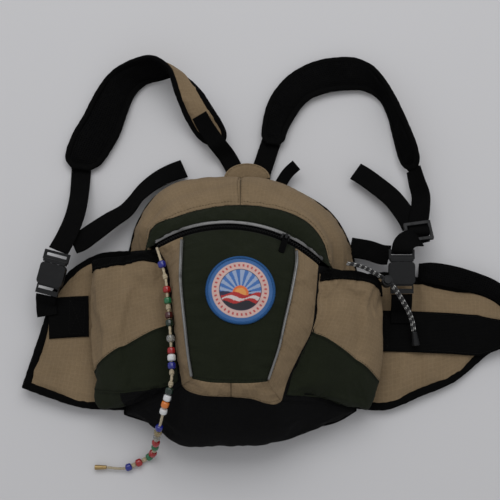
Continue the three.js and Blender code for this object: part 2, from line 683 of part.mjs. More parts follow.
function makeRightWing() {
  const root = [[141.4, 34, 6], [139.8, -30, 6], [137.6, -90, 6], [135.4, -126, 6]];
  const near = [[175, 38, 9.6], [174, -30, 9.6], [172, -86, 9.6], [170, -128, 9.6]];
  const fold = [32, -30, -76, -112].map((y) => [RIGHT_FOLD, y, 10]);
  add('right_wing_root', slab(trimmed(loft([root, near, fold], 6, 6)), WING.foam, false, true), 'khaki');
  const wide = [[252, 24, 10], [252, -20, 10], [252, -60, 9], [252, -95, 8]];
  const narrow = [[300, 14, 9], [302, -12, 9], [302, -36, 8], [300, -58, 7]];
  const tip = [[338, -14, 7], [344, -24, 7], [344, -34, 7], [338, -42, 7]];
  add('right_wing', slab(trimmed(loft([fold, wide, narrow, tip], 6, 9)), WING.foam, true), 'khaki');
  const roll = smooth([[218, 44.6, 13.2], [234, 43.8, 14.4], [262, 38, 15.2], [288, 29, 15.6], [310, 17.8, 15.4]]);
  add('right_wing_mesh_roll', tube(roll, MESH_ROLL, 12, 10), 'mesh');
  const rootBelt = [[156, -34, 14.6], [172, -35, 15.9], [207, -36, 16]];
  const up = [[0, 1, 0], [0, 1, 0]];
  add('right_belt_webbing_root', webbing(smooth(rootBelt), up, BELT.width, BELT.thickness, 5), 'webbing');
  const middle = smooth([[217, -36, 16], [250, -38, 16.4], [290, -40, 15], [350, -32, 13.2]]);
  const line = middle.getSpacedPoints(12);
  const edge = (sign) => curveFrom(line.map((p, i) => {
    const narrowing = THREE.MathUtils.clamp((i - 5) / 4, 0, 1);
    const half = THREE.MathUtils.lerp(BELT.width, WEBBING.width, narrowing) / 2;
    return p.clone().add(new THREE.Vector3(0, sign * half, 0));
  }));
  add('right_belt_webbing', ribbon(edge(-1), edge(1), BELT.thickness, 12), 'webbing');
}

// ---------------------------------------------------------------- shoulder straps
// Each pad is given by its two edges, because it twists along its way.
const LEFT_PAD = [
  [
    [-224, 176, 8], [-225, 192, 8], [-218, 218, 8], [-204, 246, 8], [-190, 276, 10], [-172, 299, 18],
    [-145, 310, 32], [-116, 309, 48], [-97, 296, 50], [-84, 262, 36], [-73, 238, 20], [-58, 216, 12], [-42, 202, 12],
  ],
  [
    [-188, 172, 8], [-178, 185, 8], [-160, 218, 8], [-150, 250, 8], [-141, 275, 6], [-125, 292, 5],
    [-104, 298, 5], [-86, 302, 8], [-58, 276, 24], [-38, 246, 26], [-24, 222, 22], [-20, 206, 16],
  ],
];
const RIGHT_PAD = [
  [
    [50, 204, 12], [54, 220, 10], [62, 238, 9], [82, 266, 9], [104, 277, 9], [132, 282, 8],
    [158, 281, 7], [178, 268, 6], [188, 245, 6], [194, 213, 7], [200, 184, 9], [207, 170, 11],
  ],
  [
    [24, 208, 12], [25, 230, 10], [34, 266, 9], [57, 298, 9], [88, 317, 10], [116, 323, 12],
    [145, 322, 14], [166, 308, 20], [184, 277, 30], [207, 222, 34], [217, 190, 34], [220, 170, 30],
  ],
];

function makeStrapPads() {
  for (const [name, edges] of [['left', LEFT_PAD], ['right', RIGHT_PAD]]) {
    add(`${name}_strap_pad`, ribbon(...edges.map(smooth), STRAP.foam, 26), 'mesh');
  }
}

// A half-round tab over the strap anchors, sewn into the top seam.
const TAB_LEVEL = 9.2;

function makeTopTab() {
  const foot = at(5, 160, 0);
  const size = { half: 30, height: 21, thickness: 2.4 };
  const shape = new THREE.Shape();
  shape.moveTo(size.half, 0);
  shape.absellipse(0, 0, size.half, size.height, 0, Math.PI);
  shape.lineTo(size.half, 0);
  add('top_tab', plate(shape, size.thickness).translate(foot.x, foot.y, TAB_LEVEL), 'khaki');
}

// Webbing sewn on the upper face of a strap pad's last stretch, and on to its anchor.
function sewnCentre(outer, inner, from, anchor) {
  const lift = STRAP.foam / 2 + GAP + 3.35 + WEBBING.thickness / 2;
  const line = [];
  for (let i = 0; i <= 4; i += 1) {
    const t = THREE.MathUtils.lerp(from, 1, i / 4);
    const across = inner.getPointAt(t).sub(outer.getPointAt(t));
    const along = inner.getTangentAt(t).add(outer.getTangentAt(t));
    const normal = across.cross(along).normalize();
    normal.multiplyScalar(Math.sign(normal.z) * lift);
    line.push(mix(outer.getPointAt(t), inner.getPointAt(t), 0.5).add(normal));
  }
  return curveFrom([...line, ...points(anchor)]);
}

function makeStrapWebbing() {
  const { width, thickness } = WEBBING;
  const [outer, inner] = LEFT_PAD.map(smooth);
  const sewn = sewnCentre(outer, inner, 0.86, [[-20, 189, 10.5], [-11, 172, 7.4], [-8, 158.6, 6.6]]);
  const across = [[0.6, 0.4, 0.5], [0.8, 0.4, 0.35], [0.9, 0.4, 0.2], [0.95, 0.3, 0], [1, 0.1, 0]];
  add('left_anchor_webbing', webbing(sewn, across, width - 3, thickness, 12), 'webbing');
  const rightAnchor = smooth([[39, 220, 4.6], [34, 205, 6.4], [28, 186, 7.2], [23, 170, 7.4], [21, 156.2, 6.6]]);
  add('right_anchor_webbing', webbing(rightAnchor, [[1, 0, 0], [1, 0, 0]], width, thickness, 8), 'webbing');
  const tail = smooth([[45.1, 149.2, 10.4], [56, 166, 14], [67, 175, 20]]);
  add('haul_tail', webbing(tail, [[0.95, -0.3, 0], [0.6, -0.8, 0]], width * 0.6, thickness, 5), 'webbing');
  const stabiliser = smooth([[132.8, 69.9, 13.5], [154, 65, 18], [170, 58, 24], [178, 56, 30]]);
  add('stabiliser_tab', webbing(stabiliser, [[-0.23, 0.97, 0], [0.3, 0.95, 0]], width, thickness, 5), 'webbing');
}

// The adjusting webbing between each strap pad and its buckle, with its loose tail.
function makeAdjusters() {
  const { width, thickness } = WEBBING;
  const strips = {
    left_lower_webbing: [
      [[-206, 186, 1.6], [-206, 170, 3], [-205, 136, 16], [-207, 104, 31], [-214, 76, 42], [-221.7, 57.4, 46]],
      [[1, 0, 0], [1, 0, 0], [1, 0, 0.2], [1, -0.1, 0.1], [0.97, -0.26, 0]],
    ],
    left_webbing_tail: [
      [
        [-206, 67, 38.8], [-198, 71, 35.9], [-184, 83, 32], [-163, 101, 26], [-145, 115, 22], [-131, 133, 22],
        [-119, 147, 18], [-104, 160, 13], [-89, 169, 9], [-75, 175, 6],
      ],
      [[0.5, -0.85, 0], [0.7, -0.7, 0], [0.7, -0.7, 0.2], [0.6, -0.6, 0.6], [0.5, -0.7, 0.2], [0.5, -0.85, 0]],
    ],
    left_socket_strap: [
      [[-236, 5, 35], [-237, 0, 31], [-237, -6, WING_TOP + 6.5], [-235, -18, WING_TOP + 5.7]],
      [[0.97, -0.26, 0], [0.97, -0.26, 0]],
    ],
    right_lower_webbing: [
      [[213.6, 169.3, 20.4], [217, 152, 21], [221, 134, 22], [219, 116, 26], [214.8, 98.4, 31.2]],
      [[0.56, 0, 0.82], [0.8, 0, 0.5], [1, 0, 0.2], [1, 0, 0.1], [0.99, 0.14, 0]],
    ],
    right_feed_webbing: [
      [[216, 71.2, 35.4], [211, 67, 40.6], [201, 63, 46], [191.4, 60, 47.8]],
      [[0.99, 0.14, 0], [0.9, -0.3, 0], [0.95, -0.2, 0], [1, 0, 0]],
    ],
    right_webbing_tail: [
      [
        [208, 91, 27.2], [205, 101, 23], [198, 115, 19.5], [186, 133, 16], [169, 149, 14],
        [152, 163, 12], [142, 170, 10],
      ],
      [[0.9, 0.4, 0], [0.85, 0.5, 0], [0.8, 0.6, 0], [0.7, 0.7, 0], [0.65, 0.75, 0]],
    ],
    right_socket_strap: [
      [[190.5, 5.8, 37.8], [190.7, -1, 34], [191, -8, 27], [191, -14, 20.5], [191, -26, 18.4]],
      [[1, 0, 0], [1, 0, 0]],
    ],
  };
  for (const [name, [centre, across]] of Object.entries(strips)) {
    add(name, webbing(smooth(centre), across, width, thickness, 2 * centre.length), 'webbing');
  }
}

// Ladder lock of the right strap: a frame with two webbing slots.
function makeLadderLock() {
  const { rim, length, frame, thickness } = LADDER;
  const slotLength = (length - 3 * frame) / 2;
  const reach = (slotLength + frame) / 2;
  const slots = [-reach, reach].map((y) => box(WEBBING.width + SLOT_PLAY, slotLength, thickness + 2, 0, y, 0));
  const body = box(WEBBING.width + 2 * rim, length, thickness);
  const lock = carve(body, ...slots);
  const mesh = add('right_ladder_lock', lock, 'plastic');
  mesh.position.copy(at(214.5, 85, 33));
  mesh.rotation.set(THREE.MathUtils.degToRad(-9), 0, THREE.MathUtils.degToRad(8), 'ZXY');
}

// ---------------------------------------------------------------- shock cord and its lock
const LOCK_AT = [170.4, 17, 58];

function makeShockCord() {
  const { radius, height, spring, travel, wall } = LOCK;
  const group = new THREE.Group();
  group.position.copy(at(...LOCK_AT));
  object.add(group);
  const round = (r, h, z) => new THREE.CylinderGeometry(r, r, h, 16).rotateX(Math.PI / 2).translate(0, 0, z);
  const turn = THREE.MathUtils.degToRad(-40);
  const eye = (z) => box(4 * radius, CORD + 0.6, CORD + 0.6, 0, 0, z).rotateZ(turn);
  const cup = carve(round(radius, height, 0), round(radius - wall, height, wall), eye(1.4));
  add('cord_lock_barrel', cup, 'plastic', group);
  const top = height / 2 + travel;
  const foot = -height / 2 + wall + spring;
  const piston = carve(round(radius - wall - GAP, top - foot, (top + foot) / 2), eye(1.4 + travel));
  add('cord_lock_button', piston, 'plastic', group);
  const wire = 0.45;
  const low = -height / 2 + wall + wire + GAP;
  const coil = [];
  for (let i = 0; i <= 32; i += 1) {
    const angle = (2 * Math.PI * 3 * i) / 32;
    const rise = ((spring - 2 * wire - 2 * GAP) * i) / 32;
    coil.push(new THREE.Vector3(3.2 * Math.cos(angle), 3.2 * Math.sin(angle), low + rise));
  }
  add('cord_lock_spring', tube(curveFrom(coil), wire, 36, 5), 'steel', group);
  const out = smooth([[121, 32, 87.8], [131, 31.4, 84], [145, 29, 74], [156, 25.5, 65], [165, 21.4, 59.8]]);
  add('shock_cord', tube(out, CORD / 2, 10, 6), 'webbing');
  const loop = smooth([
    [176.6, 11.8, 59.4], [184, 4, 52], [191, -5, 45], [199, -17, 36], [203.4, -27, 29], [205, -36.6, 25.6],
  ]);
  add('shock_cord_end', tube(loop, CORD, 12, 6), 'webbing');
  const mesh = add('cord_end_cap', new THREE.CylinderGeometry(3.4, 5, 17, 12), 'plastic');
  mesh.position.copy(at(206.4, -45.6, 23.4));
  mesh.rotation.set(THREE.MathUtils.degToRad(10), 0, THREE.MathUtils.degToRad(8), 'ZXY');
}

// ---------------------------------------------------------------- bead lanyard
// Distances along the cord, from its upper end, of its beads and knots.
const BEADS = [23, 53, 66, 83, 92, 110, 124, 132, 141, 170, 178, 186, 195, 221, 230, 240, 252, 264, 283, 292, 306, 319];
const KNOTS = [38, 74, 149, 162, 274, 299, 313];
const LANYARD_ROUTE = [
  [-99.5, 50.8, 86.9], [-94, 34, 92.4], [-88, 12, 91], [-86, -6, 91], [-84, -25, 91], [-82, -46, 92], [-80, -70, 93],
  [-79, -90, 94], [-79, -104, 96], [-82, -118, 95], [-86, -130, 90], [-91, -146, 76], [-97, -161, 56],
  [-101, -172, 34], [-105, -179, 14], [-111, -184, 5], [-124, -191, 5], [-140, -197, 5], [-160, -196, 5],
];

function makeLanyard() {
  const route = smooth(LANYARD_ROUTE);
  const length = route.getLength();
  const sides = 6;
  const rings = [[0, LANYARD.cord / 2]];
  const swell = (at0, size) => {
    const half = size * 0.36;
    rings.push([at0 - half, LANYARD.cord / 2], [at0 - half + 0.5, size / 2]);
    rings.push([at0 + half - 0.5, size / 2], [at0 + half, LANYARD.cord / 2]);
  };
  const strung = [...BEADS.map((d) => [d, LANYARD.bead]), ...KNOTS.map((d) => [d, LANYARD.knot])];
  strung.sort((a, b) => a[0] - b[0]).forEach(([d, size]) => swell(d, size));
  rings.push([length, LANYARD.cord / 2]);
  const fine = rings.flatMap((ring, i) => {
    const gap = i > 0 ? ring[0] - rings[i - 1][0] : 0;
    const fill = [];
    for (let d = 8; d < gap - 3; d += 8) {
      fill.push([rings[i - 1][0] + d, LANYARD.cord / 2]);
    }
    return [...fill, ring];
  });
  const vertices = [];
  const index = [];
  fine.forEach(([d, r], i) => {
    const t = THREE.MathUtils.clamp(d / length, 0, 1);
    const centre = route.getPointAt(t);
    const along = route.getTangentAt(t);
    const side = along.clone().cross(new THREE.Vector3(1, 0, 0.3)).normalize();
    const up = along.clone().cross(side);
    for (let k = 0; k < sides; k += 1) {
      const turn = (2 * Math.PI * k) / sides;
      const p = centre.clone().addScaledVector(side, r * Math.cos(turn)).addScaledVector(up, r * Math.sin(turn));
      vertices.push(p.x, p.y, p.z);
      if (i > 0) {
        const a = (i - 1) * sides + k;
        const b = (i - 1) * sides + ((k + 1) % sides);
        index.push(a, b, b + sides, a, b + sides, a + sides);
      }
    }
  });
  for (let k = 1; k < sides - 1; k += 1) {
    const last = (fine.length - 1) * sides;
    index.push(0, k + 1, k, last, last + k, last + k + 1);
  }
  add('bead_lanyard', faceOutwards(vertices, index), 'cream');
  const end = new THREE.CylinderGeometry(3, 2.2, 14, 12).rotateZ(Math.PI / 2);
  add('lanyard_end', end, 'brass').position.copy(at(-167.6, -195.8, 5));
}

// ---------------------------------------------------------------- buckles
// A side-release buckle lies along its own Y: the plug comes out towards +Y.
function buckleGroup(place, turn, tilt) {
  const group = new THREE.Group();
  group.position.copy(at(...place));
  group.rotation.set(tilt, 0, turn, 'ZXY');
  object.add(group);
  return group;
}

function makeSocket(name, group) {
  const { rim, thickness, socket, wall, bar } = BUCKLE;
  const width = WEBBING.width + 2 * rim;
  const bodyLength = socket - bar * 0.5;
  const shell = plate(rounded(width, bodyLength, 5), thickness).translate(0, -bodyLength / 2, -thickness / 2);
  const bore = box(width - 2 * wall - 3, bodyLength, thickness - 2 * wall, 0, -bodyLength / 2 + wall + 1.4, 0);
  const windows = [-1, 1].map((side) => box(9, 11, thickness - 2 * wall, (side * width) / 2, -bodyLength / 2, 0));
  const loop = box(width - 4, bar, thickness * 0.6, 0, -bodyLength - bar / 2 + 1, 0);
  const slot = box(WEBBING.width + SLOT_PLAY, 3.4, thickness, 0, -bodyLength - bar / 2 + 2.4, 0);
  add(`${name}_buckle_socket`, carve(join(shell, loop), bore, ...windows, slot), 'plastic', group);
}

function makePlug(name, group) {
  const { rim, thickness, socket, wall, bar, prong } = BUCKLE;
  const width = WEBBING.width + 2 * rim;
  const bodyLength = socket - bar * 0.5;
  const cavity = thickness - 2 * wall - 2 * GAP;
  const reach = bodyLength - wall - 5;
  const spread = (width - 2 * wall - 3 - 2 * GAP - prong) / 2;
  const arm = (x, w) => box(w, reach + 1, cavity, x, -reach / 2 + 0.5 + GAP, 0);
  const head = box(width - 3, 4, thickness, 0, 2 + GAP, 0);
  const loop = box(width, bar, thickness * 0.6, 0, 3 + bar / 2, 0);
  const slot = box(WEBBING.width + SLOT_PLAY, 3.4, thickness, 0, 3 + bar / 2 + 1, 0);
  const plug = join(head, arm(-spread, prong), arm(spread, prong), arm(0, prong - 1), loop);
  add(`${name}_buckle_plug`, carve(plug, slot), 'plastic', group);
}

function makeBuckles() {
  const turn = THREE.MathUtils.degToRad;
  const left = buckleGroup([-226, 42, 43], turn(-15), turn(11));
  makeSocket('left', left);
  makePlug('left', left);
  const right = buckleGroup([190.5, 44, 45], 0, turn(10));
  makeSocket('right', right);
  makePlug('right', right);
  makePlug('waist', buckleGroup([365.8, -32, 13.2], turn(90), 0));
  makeSocket('waist', buckleGroup([-183, -30, SOLE + BUCKLE.thickness / 2], turn(-90), 0));
}

// ---------------------------------------------------------------- assembly
makeBack();
makeShell();
makeBand();
makeZip();
makeFront();
makeDivider();
makePatch();
makeSlider();
makePocket('left');
makePocket('right');
makeLeftWing();
makeRightWing();
makeStrapPads();
makeTopTab();
makeStrapWebbing();
makeAdjusters();
makeLadderLock();
makeBuckles();
makeShockCord();
makeLanyard();

export default object;
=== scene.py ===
import json
import math

import bmesh
import bpy
import numpy as np
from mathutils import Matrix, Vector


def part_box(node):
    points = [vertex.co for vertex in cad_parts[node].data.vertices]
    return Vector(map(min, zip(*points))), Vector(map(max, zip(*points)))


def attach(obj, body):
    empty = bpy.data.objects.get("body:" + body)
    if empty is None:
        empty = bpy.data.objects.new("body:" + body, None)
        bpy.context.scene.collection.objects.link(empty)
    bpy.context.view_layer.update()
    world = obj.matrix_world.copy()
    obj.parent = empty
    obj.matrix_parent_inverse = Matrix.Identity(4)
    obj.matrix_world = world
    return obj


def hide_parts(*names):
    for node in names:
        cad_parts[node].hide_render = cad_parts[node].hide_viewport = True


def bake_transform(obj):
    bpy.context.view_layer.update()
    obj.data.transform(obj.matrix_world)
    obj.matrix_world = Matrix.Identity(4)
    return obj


bl_info = {
    "name": "Lumbar pack",
    "version": (1, 0, 0),
    "blender": (4, 5, 0),
    "location": "3D View > Sidebar > Lumbar pack",
    "description": "Builds a lumbar pack with a padded belt, bottle pockets and shoulder straps",
    "category": "Object",
}

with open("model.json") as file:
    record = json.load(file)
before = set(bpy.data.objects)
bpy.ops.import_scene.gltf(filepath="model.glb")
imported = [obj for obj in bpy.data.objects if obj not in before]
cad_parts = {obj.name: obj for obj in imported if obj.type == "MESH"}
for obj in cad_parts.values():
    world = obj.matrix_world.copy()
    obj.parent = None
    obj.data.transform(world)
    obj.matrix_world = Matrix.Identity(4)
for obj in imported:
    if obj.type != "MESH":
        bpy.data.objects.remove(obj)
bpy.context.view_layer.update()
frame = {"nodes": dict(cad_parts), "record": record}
BODY_OF = {node: body for body, nodes in frame["record"]["behaviour"]["bodies"].items() for node in nodes}

MM = 0.001
SEED = 7
grids = {}  # finished surface points of each panel, for the trims sewn on it


# ---------------------------------------------------------------- curves and surfaces
def mm(points):
    """Points given in millimetres, as an array in metres."""
    return np.asarray(points, float) * MM


def unit(v):
    """Vectors of length 1."""
    return v / np.maximum(np.linalg.norm(v, axis=-1, keepdims=True), 1e-12)


def spline(points, fine=20):
    """Centripetal Catmull-Rom line through points."""
    p = np.asarray(points, float)
    q = np.vstack([2 * p[0] - p[1], p, 2 * p[-1] - p[-2]])
    t = np.linspace(0, 1, fine, endpoint=False)[:, None]
    line = []
    for a, b, c, d in zip(q, q[1:], q[2:], q[3:]):
        before, here, after = (max(np.linalg.norm(y - x) ** 0.5, 1e-6) for x, y in ((a, b), (b, c), (c, d)))
        start = ((b - a) / before - (c - a) / (before + here) + (c - b) / here) * here
        end = ((c - b) / here - (d - b) / (here + after) + (d - c) / after) * here
        line.append(b + start * t + (3 * (c - b) - 2 * start - end) * t**2
                    + (2 * (b - c) + start + end) * t**3)
    return np.vstack([*line, p[-1:]])


def lengths(line):
    """Distance along a line at each of its points."""
    return np.concatenate([[0], np.cumsum(np.linalg.norm(np.diff(line, axis=0), axis=1))])


def at_distance(line, distances):
    """Points of a line at given distances from its start."""
    far = lengths(line)
    return np.stack([np.interp(distances, far, line[:, k]) for k in range(line.shape[1])], axis=1)


def spaced(line, steps):
    """The line with its points at equal distances."""
    return at_distance(line, np.linspace(0, lengths(line)[-1], steps + 1))


def along(points, steps):
    """Smooth line through points, at equal distances."""
    return spaced(spline(points), steps)


def loft(rows, cols, steps):
    """Grid of points over smooth rows, joined smoothly from row to row."""
    lines = [along(row, cols) for row in rows]
    return np.stack([along([line[j] for line in lines], steps) for j in range(cols + 1)], axis=1)


def normals_of(grid):
    """Unit normals of a grid of points."""
    down = np.gradient(grid, axis=0)
    across = np.gradient(grid, axis=1)
    return unit(np.cross(across, down))


CORE = mm([[-45, -85, 40], [35, 45, 55]])


def inward(p):
    """Directions from points of the shell to the middle of the pack."""
    return unit(np.clip(p, CORE[0], CORE[1]) - p)


def outward_normals(grid):
    """Unit normals of a shell panel, pointing out of the pack."""
    n = normals_of(grid)
    sign = np.sign(-(n * inward(grid)).sum(-1).mean())
    return n * sign


def ripple(distance, period, seed):
    """Smooth, irregular wave of about 1 high along a distance."""
    rng = np.random.default_rng(seed)
    total = np.zeros_like(distance)
    for share in (0.7, 1.0, 1.6, 2.3):
        total += np.sin(2 * np.pi * distance / (period * share) + rng.uniform(0, 2 * np.pi)) / 2
    return total / 1.4


def edge_distance(grid):
    """Distance of each grid point from the nearest border of the grid, and the place along that border."""
    rows, cols = grid.shape[:2]
    wide = lengths(grid[rows // 2])
    high = lengths(grid[:, cols // 2])
    u, v = np.meshgrid(wide, high)
    to_side = np.minimum(u, wide[-1] - u)
    to_end = np.minimum(v, high[-1] - v)
    return np.minimum(to_side, to_end), np.where(to_end < to_side, u, v + 0.1)


def puckered(grid, height, period=0.011, reach=0.009, seed=SEED):
    """The grid with the small puckers that a seam draws into the cloth beside it."""
    distance, place = edge_distance(grid)
    wave = ripple(place, period, seed) * (distance / 0.003).clip(0, 1) * np.exp(-distance / reach)
    return grid + outward_normals(grid) * (wave * height)[..., None]


def grooved(grid, plane_point, plane_normal, depth=0.0009, width=0.0016):
    """The grid pressed in along the seam where a plane crosses it."""
    far = (grid - mm(plane_point)) @ unit(np.asarray(plane_normal, float))
    return grid - outward_normals(grid) * (depth * np.exp(-((far / width) ** 2)))[..., None]


# ---------------------------------------------------------------- meshes
def new_object(name, vertices, faces, materials, uvs=None, face_slots=None, smooth=True):
    """A mesh object with its materials; uvs holds one pair for each vertex, in metres."""
    mesh = bpy.data.meshes.new(name)
    mesh.from_pydata([tuple(v) for v in vertices], [], [tuple(int(i) for i in f) for f in faces])
    if uvs is not None:
        layer = mesh.uv_layers.new(name="Thread")
        loops = np.empty(len(mesh.loops), int)
        mesh.loops.foreach_get("vertex_index", loops)
        layer.uv.foreach_set("vector", np.asarray(uvs, np.float32)[loops].ravel())
    for material in materials:
        mesh.materials.append(material)
    if face_slots is not None:
        mesh.polygons.foreach_set("material_index", np.asarray(face_slots, np.int32))
    mesh.polygons.foreach_set("use_smooth", [smooth] * len(mesh.polygons))
    mesh.update()
    obj = bpy.data.objects.new(name, mesh)
    bpy.context.scene.collection.objects.link(obj)
    return obj


def piece(obj, slot, *nodes, body=None):
    """Hides the CAD nodes the piece stands for and hangs it on the body it rides on; slot is not used."""
    if nodes:
        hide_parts(*nodes)
    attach(obj, body or BODY_OF[nodes[0]])
    return obj


def quads(index, flip=False):
    """Faces of a grid of vertex numbers."""
    corners = [index[:-1, :-1], index[1:, :-1], index[1:, 1:], index[:-1, 1:]]
    faces = np.stack(corners, axis=-1).reshape(-1, 4)
    return faces[:, ::-1] if flip else faces


def grid_uvs(grid):
    """Places on the cloth, in metres, of a grid's points."""
    rows, cols = grid.shape[:2]
    u, v = np.meshgrid(lengths(grid[rows // 2]), lengths(grid[:, cols // 2]))
    return np.stack([u, v], axis=-1).reshape(-1, 2)


def coordinates(obj):
    """Vertex places of a mesh object."""
    co = np.empty(len(obj.data.vertices) * 3)
    obj.data.vertices.foreach_get("co", co)
    return co.reshape(-1, 3)


def border(shape):
    """Mask of the border points of a grid."""
    mask = np.ones(shape, bool)
    mask[1:-1, 1:-1] = False
    return mask


def settle(obj, held, grow, pressure=0.0, bending=0.6, frames=22, cap=0.004):
    """Lets cloth relax with its seams held and keeps the result as plain mesh; no point moves beyond cap."""
    rest = coordinates(obj)
    group = obj.vertex_groups.new(name="seam")
    group.add([int(i) for i in np.flatnonzero(held)], 1.0, "REPLACE")
    cloth = obj.modifiers.new("cloth", "CLOTH")
    cloth.collision_settings.use_collision = False
    settings = cloth.settings
    settings.quality = 5
    settings.mass = 0.25
    settings.tension_stiffness = settings.compression_stiffness = 18
    settings.shear_stiffness = 8
    settings.bending_stiffness = bending
    settings.shrink_min = -grow
    settings.use_pressure = pressure != 0
    settings.uniform_pressure_force = pressure
    settings.effector_weights.gravity = 0
    settings.vertex_group_mass = group.name
    scene = bpy.context.scene
    for step in range(1, frames + 1):
        scene.frame_set(step)
    shape = obj.evaluated_get(bpy.context.evaluated_depsgraph_get())
    moved = np.empty(len(rest) * 3)
    shape.data.vertices.foreach_get("co", moved)
    obj.modifiers.remove(cloth)
    obj.vertex_groups.remove(group)
    scene.frame_set(1)
    move = np.nan_to_num(moved.reshape(-1, 3) - rest)
    size = np.linalg.norm(move, axis=1, keepdims=True)
    move *= cap * np.tanh(size / cap) / np.maximum(size, 1e-9)
    obj.data.vertices.foreach_set("co", (rest + move).ravel())
    obj.data.update()


def panel(name, grid, material, thickness=1.6, grow=0.03, pressure=0.0, pucker=0.5, cap=3.0, subdivide=1,
          seed=SEED):
    """A sewn cloth panel: its grid is its outer face, held at its seams; sizes in millimetres."""
    shape = grid.shape[:2]
    grid = puckered(grid, pucker * MM, seed=seed)
    facing = (normals_of(grid) * outward_normals(grid)).sum() > 0
    index = np.arange(grid.size // 3).reshape(shape)
    obj = new_object(name, grid.reshape(-1, 3), quads(index, facing), [material], grid_uvs(grid))
    settle(obj, border(shape).ravel(), grow, pressure, cap=cap * MM)
    grids[name] = coordinates(obj).reshape(*shape, 3)
    if subdivide:
        smooth = obj.modifiers.new("smooth", "SUBSURF")
        smooth.levels = smooth.render_levels = subdivide
        smooth.subdivision_type = "CATMULL_CLARK"
    lining = obj.modifiers.new("lining", "SOLIDIFY")
    lining.thickness = thickness * MM
    lining.offset = -1
    return obj


def pillow(name, middle, half, materials, grow=0.02, pressure=0.6, cap=2.5, subdivide=1, up=None):
    """A padded closed piece round a grid of middle points: half is its half thickness, none at its border."""
    rows, cols = middle.shape[:2]
    normal = normals_of(middle) if up is None else np.broadcast_to(unit(np.asarray(up, float)), middle.shape)
    rim = border((rows, cols))
    top = np.arange(rows * cols).reshape(rows, cols)
    low = top.copy()
    low[~rim] = rows * cols + np.arange((~rim).sum())
    lift = normal * np.where(rim, 0, half)[..., None]
    vertices = np.vstack([(middle + lift).reshape(-1, 3), (middle - lift)[~rim]])
    flip = (normals_of(middle) * normal).sum() > 0
    over = quads(top, flip)
    under = quads(low, not flip)
    uv = grid_uvs(middle)
    uvs = np.vstack([uv, uv.reshape(rows, cols, 2)[~rim]])
    slots = [0] * len(over) + [len(materials) - 1] * len(under)
    obj = new_object(name, vertices, np.vstack([over, under]), materials, uvs, slots)
    held = np.zeros(len(vertices), bool)
    held[: rows * cols] = rim.ravel()
    settle(obj, held, grow, pressure, cap=cap * MM)
    grids[name] = coordinates(obj)[: rows * cols].reshape(rows, cols, 3)
    grids[name + ".under"] = coordinates(obj)[low.ravel()].reshape(rows, cols, 3)
    if subdivide:
        smooth = obj.modifiers.new("smooth", "SUBSURF")
        smooth.levels = smooth.render_levels = subdivide
    return obj


def section_frames(line, side):
    """Side and upward unit vectors along a line; side may be one vector, several, or None."""
    tangent = unit(np.gradient(line, axis=0))
    if side is None:
        turns = [unit(np.cross(tangent[0], [0.31, 0.17, 0.93]))]
        for t in tangent[1:]:
            turns.append(unit(turns[-1] - t * (turns[-1] @ t)))
        across = np.array(turns)
    else:
        given = np.atleast_2d(np.asarray(side, float))
        if len(given) not in (1, len(line)):
            given = spaced(spline(unit(given)), len(line) - 1)
        across = np.broadcast_to(given, line.shape)
        across = unit(across - tangent * (across * tangent).sum(-1, keepdims=True))
    return across, np.cross(tangent, across)


def sweep_parts(line, section, side=None, scale=None):
    """Vertices, faces and UVs of a closed section carried along a line, with its ends closed."""
    across, up = section_frames(line, side)
    section = np.asarray(section, float)
    if section.ndim == 2:
        section = np.broadcast_to(section, (len(line), *section.shape))
    if scale is not None:
        section = section * np.asarray(scale, float).reshape(len(line), 1, -1)
    count = section.shape[1]
    rings = line[:, None] + across[:, None] * section[..., :1] + up[:, None] * section[..., 1:]
    index = np.arange(len(line) * count).reshape(len(line), count)
    index = np.hstack([index, index[:, :1]])
    faces = [tuple(f) for f in quads(index, True)]
    faces += [tuple(index[0, :-1][::-1]), tuple(index[-1, :-1])]
    round_about = lengths(np.vstack([section[len(line) // 2], section[len(line) // 2, :1]]))[:-1]
    u, v = np.meshgrid(round_about, lengths(line))
    return rings.reshape(-1, 3), faces, np.stack([u, v], -1).reshape(-1, 2)


def joined(parts):
    """Several vertex, face and UV lists as one."""
    vertices, faces, uvs, first = [], [], [], 0
    for v, f, uv in parts:
        vertices.append(v)
        uvs.append(uv)
        faces += [tuple(int(i) + first for i in face) for face in f]
        first += len(v)
    return np.vstack(vertices), faces, np.vstack(uvs)


def sweep(name, line, section, material, side=None, scale=None):
    """An object of a section carried along a line."""
    vertices, faces, uvs = sweep_parts(line, section, side, scale)
    return new_object(name, vertices, faces, [material], uvs)


def round_section(radius, sides=10):
    """Circle of a radius in millimetres."""
    turn = np.linspace(0, 2 * np.pi, sides, endpoint=False)
    return np.stack([np.cos(turn), np.sin(turn)], -1) * radius * MM


def flat_section(width, thickness, crown=0.0, across=6):
    """Cross-section of tape or webbing, with soft edges; sizes in millimetres."""
    x = np.linspace(-1, 1, across + 1)
    half = thickness / 2 * (1 - 0.55 * np.abs(x) ** 6) + crown * (1 - x**2)
    low = np.stack([x * width / 2, -thickness / 2 * (1 - 0.55 * np.abs(x) ** 6)], -1)
    top = np.stack([x * width / 2, half], -1)[::-1]
    return np.vstack([low, top]) * MM


def stitch_parts(line, length=3.0, gap=0.9, radius=0.28, lift=None):
    """Thread of a stitched line, as short rounded lengths; sizes in millimetres."""
    parts = []
    total = lengths(line)[-1]
    step = (length + gap) * MM
    for start in np.arange(gap * MM, total - length * MM, step):
        run = at_distance(line, start + np.linspace(0, length * MM, 4))
        if lift is not None:
            run = run + lift * (np.array([0, 0.7, 0.7, 0])[:, None] * radius * MM)
        parts.append(sweep_parts(run, round_section(radius, 5), scale=[0.45, 1, 1, 0.45]))
    return parts


def binding(name, line, material, slot, body, width=7.0, thickness=3.4, side=None, wave=0.25):
    """Folded tape sewn over an edge."""
    far = lengths(line)
    scale = 1 + wave * 0.3 * ripple(far, 0.012, len(name))
    obj = sweep(name, line, flat_section(width, thickness, crown=0.25), material, side, scale)
    return piece(obj, slot, body=body)


